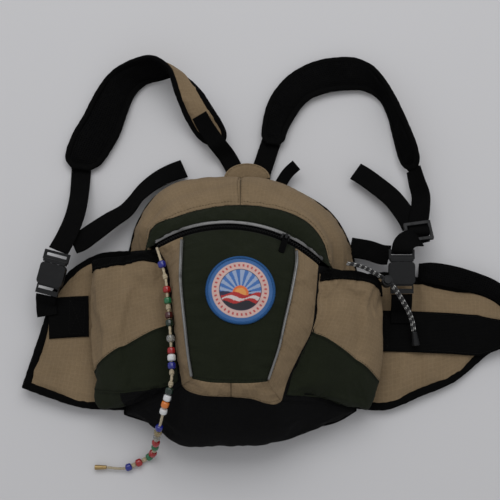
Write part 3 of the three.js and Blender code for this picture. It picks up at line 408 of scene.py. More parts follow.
# ---------------------------------------------------------------- node groups and materials
def group_tree(name, inputs, outputs):
    """A new shader node group with named sockets, and its two end nodes."""
    tree = bpy.data.node_groups.new(name, "ShaderNodeTree")
    for kind, title, default in inputs:
        socket = tree.interface.new_socket(title, in_out="INPUT", socket_type=kind)
        if default is not None:
            socket.default_value = default
    for kind, title in outputs:
        tree.interface.new_socket(title, in_out="OUTPUT", socket_type=kind)
    return tree, tree.nodes.new("NodeGroupInput"), tree.nodes.new("NodeGroupOutput")


def node(tree, kind, values=(), **settings):
    """A node with its settings and, by socket name or number, its values or links."""
    made = tree.nodes.new(kind)
    for key, value in settings.items():
        setattr(made, key, value)
    for key, value in dict(values).items():
        socket = made.inputs[key]
        if isinstance(value, bpy.types.NodeSocket):
            tree.links.new(value, socket)
        else:
            socket.default_value = value
    return made


def math_node(tree, operation, a, b=0.0):
    """Result of a math node."""
    return node(tree, "ShaderNodeMath", {0: a, 1: b}, operation=operation).outputs[0]


def mix_colour(tree, share, a, b, blend="MIX"):
    """Result of mixing two colours."""
    mixed = node(tree, "ShaderNodeMix", {0: share, 6: a, 7: b}, data_type="RGBA", blend_type=blend)
    return mixed.outputs[2]


def ramp(tree, value, low, high):
    """A value mapped from low..high to 0..1."""
    mapped = node(tree, "ShaderNodeMapRange", {0: value, 1: low, 2: high}, interpolation_type="SMOOTHSTEP")
    return mapped.outputs[0]


FLOAT, COLOUR, VECTOR = "NodeSocketFloat", "NodeSocketColor", "NodeSocketVector"


def weave_group():
    """Plain or ripstop weave: height of the threads and a mask of the ripstop ribs."""
    inputs = [(VECTOR, "Thread", None), (FLOAT, "Pitch", 0.0006), (FLOAT, "Ripstop", 0.005),
              (FLOAT, "Slub", 0.4)]
    tree, start, end = group_tree("Weave", inputs, [(FLOAT, "Height"), (FLOAT, "Rib"), (FLOAT, "Shade")])
    links = tree.links
    axes = node(tree, "ShaderNodeSeparateXYZ", {0: start.outputs["Thread"]})
    waves, ribs = [], []
    for axis in (0, 1):
        turn = math_node(tree, "DIVIDE", math_node(tree, "MULTIPLY", axes.outputs[axis], math.pi),
                         start.outputs["Pitch"])
        waves.append(math_node(tree, "ABSOLUTE", math_node(tree, "SINE", turn)))
        cell = math_node(tree, "DIVIDE", axes.outputs[axis], start.outputs["Ripstop"])
        off = math_node(tree, "ABSOLUTE", math_node(tree, "SUBTRACT", math_node(tree, "FRACT", cell), 0.5))
        ribs.append(ramp(tree, off, 0.38, 0.47))
    rib = math_node(tree, "MAXIMUM", ribs[0], ribs[1])
    threads = math_node(tree, "MULTIPLY", waves[0], waves[1])
    slub = node(tree, "ShaderNodeTexNoise", {"Vector": start.outputs["Thread"], "Scale": 260.0,
            "Detail": 3.0})
    height = math_node(tree, "ADD", threads, math_node(tree, "MULTIPLY", slub.outputs[0],
            start.outputs["Slub"]))
    links.new(math_node(tree, "ADD", height, math_node(tree, "MULTIPLY", rib, 0.6)), end.inputs["Height"])
    links.new(rib, end.inputs["Rib"])
    links.new(slub.outputs[0], end.inputs["Shade"])
    return tree


def tone_group():
    """Uneven tone of dyed cloth: broad blotches, fine mottling and a little pale dust on upper faces."""
    inputs = [(COLOUR, "Colour", (0.5, 0.5, 0.5, 1)), (FLOAT, "Blotch", 0.15), (FLOAT, "Mottle", 0.12),
              (FLOAT, "Dust", 0.03)]
    tree, start, end = group_tree("Cloth tone", inputs, [(COLOUR, "Colour"), (FLOAT, "Wear")])
    place = node(tree, "ShaderNodeTexCoord").outputs["Object"]
    broad = node(tree, "ShaderNodeTexNoise", {"Vector": place, "Scale": 17.0, "Detail": 4.0,
            "Roughness": 0.6}).outputs[0]
    fine = node(tree, "ShaderNodeTexNoise", {"Vector": place, "Scale": 420.0, "Detail": 5.0,
            "Roughness": 0.7}).outputs[0]
    dark = mix_colour(tree, math_node(tree, "MULTIPLY", ramp(tree, broad, 0.35, 0.7),
                                      start.outputs["Blotch"]),
                      start.outputs["Colour"], (0.0, 0.0, 0.0, 1))
    swing = math_node(tree, "MULTIPLY", math_node(tree, "SUBTRACT", fine, 0.5), start.outputs["Mottle"])
    gain = math_node(tree, "ADD", math_node(tree, "MULTIPLY", swing, 4.0), 1.0)
    lit = node(tree, "ShaderNodeVectorMath", {0: dark, "Scale": gain}, operation="SCALE").outputs[0]
    facing = node(tree, "ShaderNodeSeparateXYZ",
                  {0: node(tree, "ShaderNodeNewGeometry").outputs["Normal"]}).outputs[2]
    specks = node(tree, "ShaderNodeTexNoise",
                  {"Vector": place, "Scale": 90.0, "Detail": 8.0, "Roughness": 0.8}).outputs[0]
    settled = math_node(tree, "MULTIPLY", ramp(tree, specks, 0.45, 0.75), ramp(tree, facing, 0.2, 1.0))
    wear = math_node(tree, "MULTIPLY", settled, start.outputs["Dust"])
    tree.links.new(mix_colour(tree, wear, lit, (0.42, 0.40, 0.37, 1)), end.inputs["Colour"])
    tree.links.new(wear, end.inputs["Wear"])
    return tree


def grain_group():
    """Fine moulded grain of plastic, with scuffs that dull it."""
    inputs = [(FLOAT, "Size", 900.0), (FLOAT, "Gloss", 0.4)]
    tree, start, end = group_tree("Moulded grain", inputs, [(FLOAT, "Height"), (FLOAT, "Roughness")])
    place = node(tree, "ShaderNodeTexCoord").outputs["Object"]
    cells = node(tree, "ShaderNodeTexVoronoi",
                 {"Vector": place, "Scale": start.outputs["Size"]}).outputs["Distance"]
    scuff = node(tree, "ShaderNodeTexNoise", {"Vector": place, "Scale": 130.0, "Detail": 6.0}).outputs[0]
    rough = math_node(tree, "ADD", start.outputs["Gloss"],
                      math_node(tree, "MULTIPLY", ramp(tree, scuff, 0.4, 0.7), 0.18))
    tree.links.new(cells, end.inputs["Height"])
    tree.links.new(rough, end.inputs["Roughness"])
    return tree


def placed(tree, name, values=()):
    """A node group placed in a material."""
    made = tree.nodes.new("ShaderNodeGroup")
    made.node_tree = bpy.data.node_groups[name]
    for key, value in dict(values).items():
        if isinstance(value, bpy.types.NodeSocket):
            tree.links.new(value, made.inputs[key])
        else:
            made.inputs[key].default_value = value
    return made


def base_material(name, roughness=0.8, metallic=0.0, **sockets):
    """An empty Principled material; other sockets are given with _ for each space."""
    material = bpy.data.materials.new(name)
    material.use_nodes = True
    shader = material.node_tree.nodes["Principled BSDF"]
    shader.inputs["Roughness"].default_value = roughness
    shader.inputs["Metallic"].default_value = metallic
    for key, value in sockets.items():
        shader.inputs[key.replace("_", " ")].default_value = value
    return material, material.node_tree, shader


def bump(tree, shader, height, strength, distance):
    """Feeds a height to the shader's normal; distance is in metres."""
    made = node(tree, "ShaderNodeBump", {"Strength": strength, "Distance": distance, "Height": height})
    tree.links.new(made.outputs[0], shader.inputs["Normal"])


def cloth_material(name, colour, pitch=0.0006, rib_spacing=0.005, rib_highlight=0.12, depth=0.00015, blotch=0.15,
                   dust=0.03,
                   roughness=0.85, sheen=0.03):
    """Coated pack cloth with its weave, ripstop ribs painted lighter as a painted highlight, uneven tone and
    dust.
    """
    material, tree, shader = base_material(name, roughness, Sheen_Weight=sheen, Sheen_Roughness=0.5, IOR=1.15)
    thread = node(tree, "ShaderNodeUVMap", uv_map="Thread").outputs[0]
    weave = placed(tree, "Weave", {"Thread": thread, "Pitch": pitch, "Ripstop": rib_spacing})
    tone = placed(tree, "Cloth tone", {"Colour": (*colour, 1), "Blotch": blotch, "Dust": dust})
    # Painted highlight: the raised ripstop ribs are painted lighter, towards a paler colour of the same
    # cloth.
    light = math_node(tree, "MULTIPLY", weave.outputs["Rib"], rib_highlight)
    shaded = mix_colour(tree, light, tone.outputs["Colour"], tuple(1.7 * c + 0.002 for c in colour) + (1,))
    tree.links.new(shaded, shader.inputs["Base Color"])
    tree.links.new(math_node(tree, "ADD", math_node(tree, "MULTIPLY", weave.outputs["Shade"], 0.2),
                             roughness - 0.1),
                   shader.inputs["Roughness"])
    bump(tree, shader, weave.outputs["Height"], 0.7, depth)
    return material


def mesh_material(name, colour, cell=0.0026):
    """Knitted spacer mesh: rows of small open holes in a springy face, painted nearly black as the shade
    inside them.
    """
    material, tree, shader = base_material(name, 0.95, IOR=1.1)
    thread = node(tree, "ShaderNodeUVMap", uv_map="Thread").outputs[0]
    holes = node(tree, "ShaderNodeTexVoronoi",
                 {"Vector": thread, "Scale": 1 / cell, "Randomness": 0.25}).outputs["Distance"]
    open_part = ramp(tree, holes, 0.38, 0.2)
    tone = placed(tree, "Cloth tone", {"Colour": (*colour, 1), "Blotch": 0.2, "Dust": 0.003})
    # Painted shade: the open holes are painted nearly black, as the shade inside them.
    tree.links.new(mix_colour(tree, open_part, tone.outputs["Colour"], (0.0008, 0.0008, 0.0009, 1)),
                   shader.inputs["Base Color"])
    bump(tree, shader, math_node(tree, "SUBTRACT", 1.0, open_part), 0.8, 0.0006)
    return material


def webbing_material(name, colour, rib=0.0017):
    """Woven webbing: chevron ribs along it and fine cross threads, their raised crowns painted lighter as a
    painted highlight.
    """
    material, tree, shader = base_material(name, 0.75, IOR=1.1)
    thread = node(tree, "ShaderNodeUVMap", uv_map="Thread").outputs[0]
    axes = node(tree, "ShaderNodeSeparateXYZ", {0: thread})
    across = math_node(tree, "MULTIPLY", axes.outputs[0], math.pi / rib)
    slant = math_node(tree, "MULTIPLY", math_node(tree, "ABSOLUTE", math_node(tree, "SINE", across)), 0.5)
    down = math_node(tree, "ADD", math_node(tree, "MULTIPLY", axes.outputs[1], 1 / 0.0011), slant)
    cross = math_node(tree, "ABSOLUTE", math_node(tree, "SUBTRACT", math_node(tree, "FRACT", down), 0.5))
    height = math_node(tree, "ADD", math_node(tree, "ABSOLUTE", math_node(tree, "SINE", across)), cross)
    tone = placed(tree, "Cloth tone", {"Colour": (*colour, 1), "Blotch": 0.12, "Dust": 0.004})
    # Painted highlight: the raised crowns of the ribs and cross threads are painted lighter.
    lit = mix_colour(tree, ramp(tree, height, 0.7, 1.4), tone.outputs["Colour"],
                     tuple(1.7 * c for c in colour) + (1,))
    tree.links.new(lit, shader.inputs["Base Color"])
    bump(tree, shader, height, 0.8, 0.0003)
    return material


def plastic_material(name, colour, gloss=0.38, size=900.0):
    """Moulded acetal or nylon with a fine grain and scuffs."""
    material, tree, shader = base_material(name, gloss, IOR=1.3)
    grain = placed(tree, "Moulded grain", {"Size": size, "Gloss": gloss})
    tone = placed(tree, "Cloth tone", {"Colour": (*colour, 1), "Blotch": 0.15, "Dust": 0.01})
    tree.links.new(tone.outputs["Colour"], shader.inputs["Base Color"])
    tree.links.new(grain.outputs["Roughness"], shader.inputs["Roughness"])
    bump(tree, shader, grain.outputs["Height"], 0.25, 0.00008)
    return material


def piping_material(name, colour):
    """Reflective tape: close grey glass-bead film over a cord, dulled where it has rubbed."""
    material, tree, shader = base_material(name, 0.38, 0.35, Coat_Weight=0.25)
    place = node(tree, "ShaderNodeTexCoord").outputs["Object"]
    beads = node(tree, "ShaderNodeTexVoronoi", {"Vector": place, "Scale": 2600.0}).outputs["Distance"]
    rubbed = node(tree, "ShaderNodeTexNoise", {"Vector": place, "Scale": 55.0, "Detail": 5.0}).outputs[0]
    worn = ramp(tree, rubbed, 0.52, 0.7)
    dark = tuple(0.35 * c for c in colour)
    tree.links.new(mix_colour(tree, worn, (*colour, 1), (*dark, 1)), shader.inputs["Base Color"])
    tree.links.new(math_node(tree, "ADD", math_node(tree, "MULTIPLY", worn, 0.35), 0.33),
                   shader.inputs["Roughness"])
    bump(tree, shader, beads, 0.3, 0.0001)
    return material


def thread_material(name, colour):
    """Twisted sewing thread."""
    material, tree, shader = base_material(name, 0.7, IOR=1.2)
    thread = node(tree, "ShaderNodeUVMap", uv_map="Thread").outputs[0]
    twist = node(tree, "ShaderNodeTexWave", {"Vector": thread, "Scale": 900.0}, wave_type="BANDS",
                 bands_direction="DIAGONAL")
    shade = mix_colour(tree, math_node(tree, "MULTIPLY", twist.outputs[1], 0.35), (*colour, 1),
                       (0.0, 0.0, 0.0, 1))
    tree.links.new(shade, shader.inputs["Base Color"])
    bump(tree, shader, twist.outputs[1], 0.4, 0.0001)
    return material


def bead_material(name, colour, clear=0.0):
    """Glossy moulded bead, opaque or clear."""
    material, tree, shader = base_material(name, 0.16, Coat_Weight=0.4, IOR=1.5)
    shader.inputs["Transmission Weight"].default_value = clear
    place = node(tree, "ShaderNodeTexCoord").outputs["Object"]
    swirl = node(tree, "ShaderNodeTexNoise", {"Vector": place, "Scale": 300.0, "Detail": 3.0,
            "Distortion": 1.5}).outputs[0]
    share = math_node(tree, "MULTIPLY", ramp(tree, swirl, 0.4, 0.75), 0.25)
    tree.links.new(mix_colour(tree, share, (*colour, 1), tuple(0.6 * c for c in colour) + (1,)),
                   shader.inputs["Base Color"])
    tree.links.new(math_node(tree, "ADD", share, 0.12), shader.inputs["Roughness"])
    return material


def braid_material(name, colour, fleck=None):
    """Braided or twisted cord; fleck gives it a reflective tracer thread."""
    material, tree, shader = base_material(name, 0.65, Sheen_Weight=0.2)
    thread = node(tree, "ShaderNodeUVMap", uv_map="Thread").outputs[0]
    axes = node(tree, "ShaderNodeSeparateXYZ", {0: thread})
    tone = placed(tree, "Cloth tone", {"Colour": (*colour, 1), "Blotch": 0.3, "Mottle": 0.25, "Dust": 0.0})
    strands = []
    for sign in (1, -1):
        slope = math_node(tree, "ADD", math_node(tree, "MULTIPLY", axes.outputs[0], 2300.0),
                          math_node(tree, "MULTIPLY", axes.outputs[1], 2300.0 * sign))
        strands.append(math_node(tree, "ABSOLUTE", math_node(tree, "SINE", slope)))
    height = math_node(tree, "MAXIMUM", *strands)
    colour_out = tone.outputs["Colour"]
    if fleck is not None:
        row = math_node(tree, "FRACT", math_node(tree, "DIVIDE", axes.outputs[1], 0.0078))
        turn = math_node(tree, "FRACT", math_node(tree, "DIVIDE", axes.outputs[0], 0.0022))
        dash = math_node(tree, "MULTIPLY", math_node(tree, "LESS_THAN", row, 0.36),
                         math_node(tree, "LESS_THAN", turn, 0.34))
        colour_out = mix_colour(tree, dash, colour_out, (*fleck, 1))
    tree.links.new(colour_out, shader.inputs["Base Color"])
    bump(tree, shader, height, 0.7, 0.0003)
    return material


def metal_material(name, colour, roughness=0.3):
    """Worn bare metal."""
    material, tree, shader = base_material(name, roughness, 1.0)
    place = node(tree, "ShaderNodeTexCoord").outputs["Object"]
    scratch = node(tree, "ShaderNodeTexNoise", {"Vector": place, "Scale": 700.0, "Detail": 4.0}).outputs[0]
    tree.links.new(mix_colour(tree, ramp(tree, scratch, 0.3, 0.8), (*colour, 1),
                              tuple(0.7 * c for c in colour) + (1,)),
                   shader.inputs["Base Color"])
    tree.links.new(math_node(tree, "ADD", math_node(tree, "MULTIPLY", scratch, 0.3), roughness - 0.1),
                   shader.inputs["Roughness"])
    return material


def painted_material(name, roughness=0.75):
    """Embroidery that takes its colours from the stitches' own colour attribute."""
    material, tree, shader = base_material(name, roughness, Sheen_Weight=0.15)
    ink = node(tree, "ShaderNodeVertexColor", layer_name="Ink").outputs[0]
    thread = node(tree, "ShaderNodeUVMap", uv_map="Thread").outputs[0]
    rows = node(tree, "ShaderNodeTexWave", {"Vector": thread, "Scale": 420.0, "Distortion": 1.5,
                                            "Detail": 2.0})
    shade = mix_colour(tree, math_node(tree, "MULTIPLY", rows.outputs[1], 0.16), ink, (0.0, 0.0, 0.0, 1))
    tree.links.new(shade, shader.inputs["Base Color"])
    bump(tree, shader, rows.outputs[1], 0.5, 0.0002)
    return material


BEAD_COLOURS = {
    "blue": ((0.006, 0.012, 0.20), 0.0),
    "red": ((0.30, 0.006, 0.008), 0.0),
    "dark_red": ((0.07, 0.004, 0.005), 0.3),
    "green": ((0.005, 0.13, 0.045), 0.0),
    "dark_green": ((0.003, 0.02, 0.012), 0.2),
    "white": ((0.62, 0.63, 0.64), 0.0),
    "orange": ((0.62, 0.17, 0.02), 0.0),
    "clear": ((0.55, 0.56, 0.55), 0.75),
    "amber": ((0.45, 0.36, 0.18), 0.6),
}


def make_materials():
    """Every finish of the pack, by name."""
    look = bpy.context.scene.pack_colours
    weave_group()
    tone_group()
    grain_group()
    made = {
        "khaki": cloth_material("khaki cloth", tuple(look.khaki)),
        "green": cloth_material("green cloth", tuple(look.green), rib_highlight=0.05, dust=0.004),
        "black": cloth_material("black cloth", tuple(look.black), rib_highlight=0.05, dust=0.002, sheen=0.0),
        "lining": cloth_material("lining", (0.03, 0.03, 0.032), rib_highlight=0.0),
        "mesh": mesh_material("air mesh", tuple(look.mesh)),
        "webbing": webbing_material("webbing", tuple(look.webbing)),
        "tape": webbing_material("binding tape", tuple(look.webbing), rib=0.0009),
        "piping": piping_material("reflective piping", tuple(look.piping)),
        "coil": plastic_material("zip coil", (0.006, 0.006, 0.0065), 0.3),
        "plastic": plastic_material("black plastic", tuple(look.plastic)),
        "thread_khaki": thread_material("khaki thread", tuple(0.75 * c for c in look.khaki)),
        "thread_dark": thread_material("dark thread", (0.008, 0.008, 0.0075)),
        # Painted shade: a dark strip laid in the groove of a seam between two pieces of the same cloth.
        "seam_shade": thread_material("painted seam shade", tuple(0.22 * c for c in look.khaki)),
        "thread_rim": thread_material("patch rim thread", (0.035, 0.125, 0.33)),
        "patch": painted_material("embroidery"),
        "cord": braid_material("shock cord sheath", (0.006, 0.006, 0.007), fleck=(0.62, 0.62, 0.6)),
        "cream": braid_material("cream cord", tuple(look.cream)),
        "brass": metal_material("brass", (0.45, 0.32, 0.15), 0.5),
        "steel": metal_material("steel", (0.45, 0.45, 0.46)),
    }
    for name, (colour, clear) in BEAD_COLOURS.items():
        made["bead_" + name] = bead_material(name.replace("_", " ") + " bead", colour, clear)
    return made


def finish(name):
    """A finish by its name."""
    if not finishes:
        finishes.update(make_materials())
    return finishes[name]


def joined_object(name, parts, finish_name):
    """Object of one finish made of several meshes."""
    vertices, faces, uvs = joined(parts)
    return new_object(name, vertices, faces, [finish(finish_name)], uvs)


finishes = {}

# ---------------------------------------------------------------- seams of the pack, in millimetres
ZIP_WIDTH, ZIP_TILT = 8.0, math.radians(-56)
ZIP_ENDS = mm([[-98, 50, 86], [88, 31, 83]])
ZIP_CROWN = mm([-8, 67, 107])
FRONT_LEFT = [[-69, 34, 110], [-69, 8, 114], [-66, -23, 116], [-63, -48, 117], [-60, -73, 116],
              [-55, -104, 112]]
FRONT_RIGHT = [[61, 30, 106], [59, 16, 109], [54, -10, 113], [47, -41, 115], [40, -72, 115], [28, -107, 112]]
FRONT_BOTTOM = [[-55, -104, 112], [-36, -108, 114], [-12, -109, 115], [10, -109, 115], [28, -107, 112]]
SIDE = {
    "left": [
        [[-140, 65, 12], [-140, 0, 12], [-140, -70, 12], [-140, -134, 12]],
        [[-128, 60, 36], [-124, 0, 34], [-124, -60, 34], [-128, -134, 34]],
        [[-114, 55, 60], [-106, 0, 58], [-98, -60, 58], [-98, -124, 58]],
        [[-98, 50, 86], [-89, 34, 80], [-83, 7, 78], [-78, -35, 78], [-74, -73, 78], [-68, -108, 80]],
    ],
    "right": [
        [[140, 35, 12], [138, -30, 12], [136, -90, 12], [134, -130, 12]],
        [[126, 34, 36], [118, -30, 34], [114, -80, 34], [122, -134, 34]],
        [[110, 32, 60], [98, -30, 60], [88, -80, 60], [84, -126, 58]],
        [[88, 31, 83], [84, -10, 82], [79, -45, 82], [65, -73, 83], [52, -100, 83], [44, -126, 82]],
    ],
}
ARCH = [
    [[-140, 65, 12], [-132, 99, 12], [-111, 134, 12], [-86, 149, 12], [-54, 156, 12], [-10, 157, 12],
     [30, 153, 12], [71, 140, 12], [109, 114, 12], [130, 78, 12], [140, 35, 12]],
    [[-128, 60, 36], [-126, 92, 42], [-106, 126, 46], [-82, 142, 48], [-50, 148, 50], [-10, 150, 52],
     [30, 146, 50], [68, 132, 48], [101, 106, 46], [121, 72, 42], [126, 34, 36]],
    [[-114, 55, 60], [-118, 82, 66], [-98, 108, 74], [-76, 120, 79], [-46, 128, 82], [-8, 131, 84],
     [30, 127, 82], [62, 116, 79], [88, 96, 72], [106, 66, 66], [110, 32, 60]],
    [[-113, 56, 76], [-109, 74, 83], [-88, 84, 88], [-50, 95, 93], [-8, 100, 96], [31, 97, 95],
     [62, 89, 91], [80, 78, 87], [94, 60, 82], [102, 34, 73]],
]
BASE = [
    [[-140, -134, 12], [-107, -145, 12], [-73, -163, 12], [-25, -166, 12],
     [23, -163, 12], [67, -152, 12], [110, -143, 12], [134, -130, 12]],
    [[-128, -134, 34], [-104, -150, 32], [-73, -170, 30], [-25, -174, 30],
     [23, -171, 32], [67, -158, 32], [104, -144, 34], [122, -134, 34]],
    [[-98, -124, 58], [-86, -140, 64], [-64, -154, 68], [-25, -159, 70],
     [20, -157, 70], [50, -150, 66], [74, -138, 62], [84, -126, 58]],
    [[-68, -108, 80], [-61, -115, 92], [-44, -121, 101], [-13, -123, 103],
     [11, -125, 101], [25, -129, 96], [36, -130, 90], [44, -126, 82]],
]


def circle_through(a, b, c):
    """Centre, radius and axis of the circle through three points."""
    ab, ac = b - a, c - a
    axis = np.cross(ab, ac)
    centre = np.cross(axis, ab) * (ac @ ac) + np.cross(ac, axis) * (ab @ ab)
    centre /= 2 * (axis @ axis)
    return a + centre, np.linalg.norm(centre), unit(axis)


ARC_CENTRE, ARC_RADIUS, ARC_AXIS = circle_through(ZIP_ENDS[0], ZIP_ENDS[1], ZIP_CROWN)
ARC_X = unit(ZIP_CROWN - ARC_CENTRE)
ARC_Y = np.cross(ARC_AXIS, ARC_X)
ARC_SPAN = [math.atan2((p - ARC_CENTRE) @ ARC_Y, (p - ARC_CENTRE) @ ARC_X) for p in ZIP_ENDS]


def zip_frame(share):
    """Foot of the zip at shares of its length, and the directions across its tape, out of it and along it."""
    angle = np.atleast_1d(ARC_SPAN[0] + (ARC_SPAN[1] - ARC_SPAN[0]) * np.asarray(share, float))[:, None]
    radial = ARC_X * np.cos(angle) + ARC_Y * np.sin(angle)
    tangent = np.cross(ARC_AXIS, radial)
    up = ARC_AXIS * np.sign(ARC_AXIS[2])
    across = radial * math.cos(ZIP_TILT) + up * math.sin(ZIP_TILT)
    out = np.cross(tangent, across)
    out *= np.sign(out[:, 2:])
    return ARC_CENTRE + radial * ARC_RADIUS, across, out, tangent


def zip_line(across, out, steps, start=0.0, end=1.0):
    """Line beside the zip's lower edge, so far across its tape and out of it, in millimetres."""
    foot, over, away, _ = zip_frame(np.linspace(start, end, steps + 1))
    return foot + over * across * MM + away * out * MM


def zip_share(x):
    """Where along the zip a point of a given x lies."""
    shares = np.linspace(0, 1, 2001)
    return float(np.interp(x, zip_frame(shares)[0][:, 0], shares))


LEFT_SHARE = zip_share(FRONT_LEFT[0][0] * MM)
RIGHT_SHARE = zip_share(FRONT_RIGHT[0][0] * MM)


def front_grid(cols, rows):
    """Points of the front panel between its pipings, the zip and its bottom seam."""
    u, v = np.linspace(0, 1, cols + 1)[None, :, None], np.linspace(0, 1, rows + 1)[:, None, None]
    top = zip_frame(np.linspace(LEFT_SHARE, RIGHT_SHARE, cols + 1))[0][None]
    bottom = along(mm(FRONT_BOTTOM), cols)[None]
    left = along(np.vstack([top[0, :1], mm(FRONT_LEFT)]), rows)[:, None]
    right = along(np.vstack([top[0, -1:], mm(FRONT_RIGHT)]), rows)[:, None]
    corners = (left[:1] * (1 - u) + right[:1] * u) * (1 - v) + (left[-1:] * (1 - u) + right[-1:] * u) * v
    bulge = 3 * MM * np.sin(np.pi * u) * np.sin(np.pi * v) * np.array([0, 0, 1.0])
    return top * (1 - v) + bottom * v + left * (1 - u) + right * u - corners + bulge


def strip_grid(first, second, across, bulge=0.0):
    """Grid between two lines of equal length in points, bowed out by bulge millimetres."""
    t = np.linspace(0, 1, across + 1)[:, None, None]
    grid = first[None] * (1 - t) + second[None] * t
    return grid - inward(grid) * (bulge * MM * 4 * t * (1 - t))


# ---------------------------------------------------------------- sizes and colours a user would change
def colour_property(name, description, default):
    """Property that holds a colour."""
    return bpy.props.FloatVectorProperty(name=name, description=description, subtype="COLOR", size=3, min=0,
                                         max=1,
                                         default=default)


class PackColours(bpy.types.PropertyGroup):
    """Colours of the pack's cloths and trims."""

    khaki: colour_property("Khaki cloth", "Colour of the khaki pack cloth", (0.215, 0.155, 0.092))
    green: colour_property("Green cloth", "Colour of the dark green pack cloth", (0.0128, 0.0158, 0.0088))
    black: colour_property("Black cloth", "Colour of the black base cloth", (0.0042, 0.0042, 0.0045))
    mesh: colour_property("Air mesh", "Colour of the padded mesh", (0.0035, 0.0035, 0.0037))
    webbing: colour_property("Webbing", "Colour of webbing and binding tape", (0.0022, 0.0022, 0.0023))
    piping: colour_property("Piping", "Colour of the reflective piping", (0.15, 0.15, 0.15))
    plastic: colour_property("Plastic", "Colour of buckles and locks", (0.0095, 0.010, 0.011))
    cream: colour_property("Lanyard cord", "Colour of the twisted lanyard cord", (0.50, 0.42, 0.28))


class PackSizes(bpy.types.PropertyGroup):
    """Sizes of the cloth and its sewing."""

    cloth: bpy.props.FloatProperty(name="Cloth", description="Thickness of a lined cloth panel",
                                   subtype="DISTANCE", default=0.0016)
    slack: bpy.props.FloatProperty(name="Slack", description="Extra cloth in each panel, as a share",
                                   subtype="FACTOR",
                                   min=0, max=0.2, default=0.04)
    stitch: bpy.props.FloatProperty(name="Stitch", description="Length of a stitch", subtype="DISTANCE",
                                    default=0.003)
    binding: bpy.props.FloatProperty(name="Binding", description="Width of the binding tape on the pockets",
                                     subtype="DISTANCE",
                                     default=0.009)
    bead: bpy.props.FloatProperty(name="Bead", description="Diameter of a bead of the lanyard",
                                  subtype="DISTANCE", default=0.0092)


class StudioLight(bpy.types.PropertyGroup):
    """Light and floor of the studio."""

    key: bpy.props.FloatProperty(name="Key light", description="Power of the large lamp", subtype="POWER",
                                 default=19.0)
    fill: bpy.props.FloatProperty(name="Fill", description="Strength of the light from all round",
                                  subtype="FACTOR", default=0.52)
    floor: colour_property("Floor", "Colour of the floor", (0.60, 0.60, 0.615))


# ---------------------------------------------------------------- pieces
def sew(name, lines, finish_name, slot, body="pack", radius=0.28, lift=None):
    """Stitched lines as one piece."""
    length = bpy.context.scene.pack_sizes.stitch / MM
    parts = []
    for line in lines:
        parts += stitch_parts(line, length=length, radius=radius, lift=lift)
    return piece(joined_object(name, parts, finish_name), slot, body=body)


def row_line(name, row, lift=0.0004, start=0, end=None):
    """Line along a row of a finished panel, lifted a little off it."""
    grid = grids[name]
    return (grid + outward_normals(grid) * lift)[row, start:end]


def column_line(name, column, lift=0.0004):
    """Line down a column of a finished panel, lifted a little off it."""
    grid = grids[name]
    return (grid + outward_normals(grid) * lift)[:, column]


def seam_line(name, panel_name, x):
    """Dark strip of painted shade in the groove where two pieces of a finished panel are sewn together, at a
    given x in millimetres.
    """
    grid = grids[panel_name]
    lifted = grid + outward_normals(grid) * 0.0002
    line = np.array([[np.interp(x * MM, row[:, 0], row[:, k]) for k in range(3)] for row in lifted])
    obj = sweep(name, spaced(line, 60), flat_section(0.9, 0.7), finish("seam_shade"), [1, 0, 0])
    return piece(obj, "khaki_cloth", body="pack")


class PACK_OT_back_panel(bpy.types.Operator):
    """Foam back panel covered in air mesh, quilted in channels and bound round its edge"""

    bl_idname = "pack.back_panel"
    bl_label = "Back panel"

    def execute(self, context):
        """Builds the piece."""
        rim = np.vstack([
            along(mm(ARCH[0]), 110)[:-1], along(mm(SIDE["right"][0]), 36)[:-1],
            along(mm(BASE[0]), 72)[::-1][:-1], along(mm(SIDE["left"][0]), 42)[::-1][:-1],
        ])[:, :2]
        centre = rim.mean(0)
        shrink = np.concatenate([[1.0, 0.985], np.linspace(0.965, 0.04, 34)])
        plan = centre + (rim - centre)[None] * shrink[:, None, None]
        x, y = plan[..., 0], plan[..., 1]
        channel = (np.exp(-((np.abs(x) - 0.045) / 0.0035) ** 2)
                   + np.exp(-(((y + 0.005) % 0.062 - 0.031) / 0.003) ** 2) * (np.abs(x) > 0.045))
        edge = 0.0045 * np.exp(-(1 - shrink) / 0.02)[:, None]
        low = 0.0003 + edge + 0.0028 * np.minimum(channel, 1)
        rings = [np.dstack([plan, low])]
        top = BACK_TOP - 0.0004 - 0.0008 * np.exp(-(1 - shrink) / 0.02)[:, None] + 0 * low
        rings.append(np.dstack([plan, top]))
        count = len(rim)
        vertices = np.vstack([r.reshape(-1, 3) for r in rings])
        index = np.arange(len(shrink) * count).reshape(len(shrink), count)
        index = np.hstack([index, index[:, :1]])
        over = index + len(shrink) * count
        faces = [*quads(index), *quads(over, True), *quads(np.vstack([over[0], index[0]]))]
        faces += [tuple(index[-1, :-1]), tuple(over[-1, :-1][::-1])]
        piece(new_object("back_pad", vertices, faces, [finish("mesh")], vertices[:, :2]), "air_mesh",
              "back_panel")
        loop = np.dstack([rim[None], np.full((1, count, 1), 0.0112)])[0]
        loop = np.vstack([loop, loop[:2]])
        binding("back_binding", loop, finish("tape"), "black_webbing", "pack", width=6, thickness=3,
                side=[0, 0, 1])
        for name in ("frame_sheet", "divider"):
            dress(name, "plastic" if name == "frame_sheet" else "lining")
        return {"FINISHED"}


BACK_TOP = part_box("back_panel")[1].z


def dress(name, finish_name, bevel=0.0):
    """Gives a CAD node its finish, and softens its edges by a bevel in millimetres."""
    obj = frame["nodes"][name]
    obj.data.materials.clear()
    obj.data.materials.append(finish(finish_name))
    if bevel:
        weld = obj.modifiers.new("weld", "WELD")
        weld.merge_threshold = 0.00002
        soft = obj.modifiers.new("bevel", "BEVEL")
        soft.width, soft.segments, soft.limit_method = bevel * MM, 2, "ANGLE"
        soft.angle_limit = math.radians(28)
        soft.harden_normals = False
    return obj


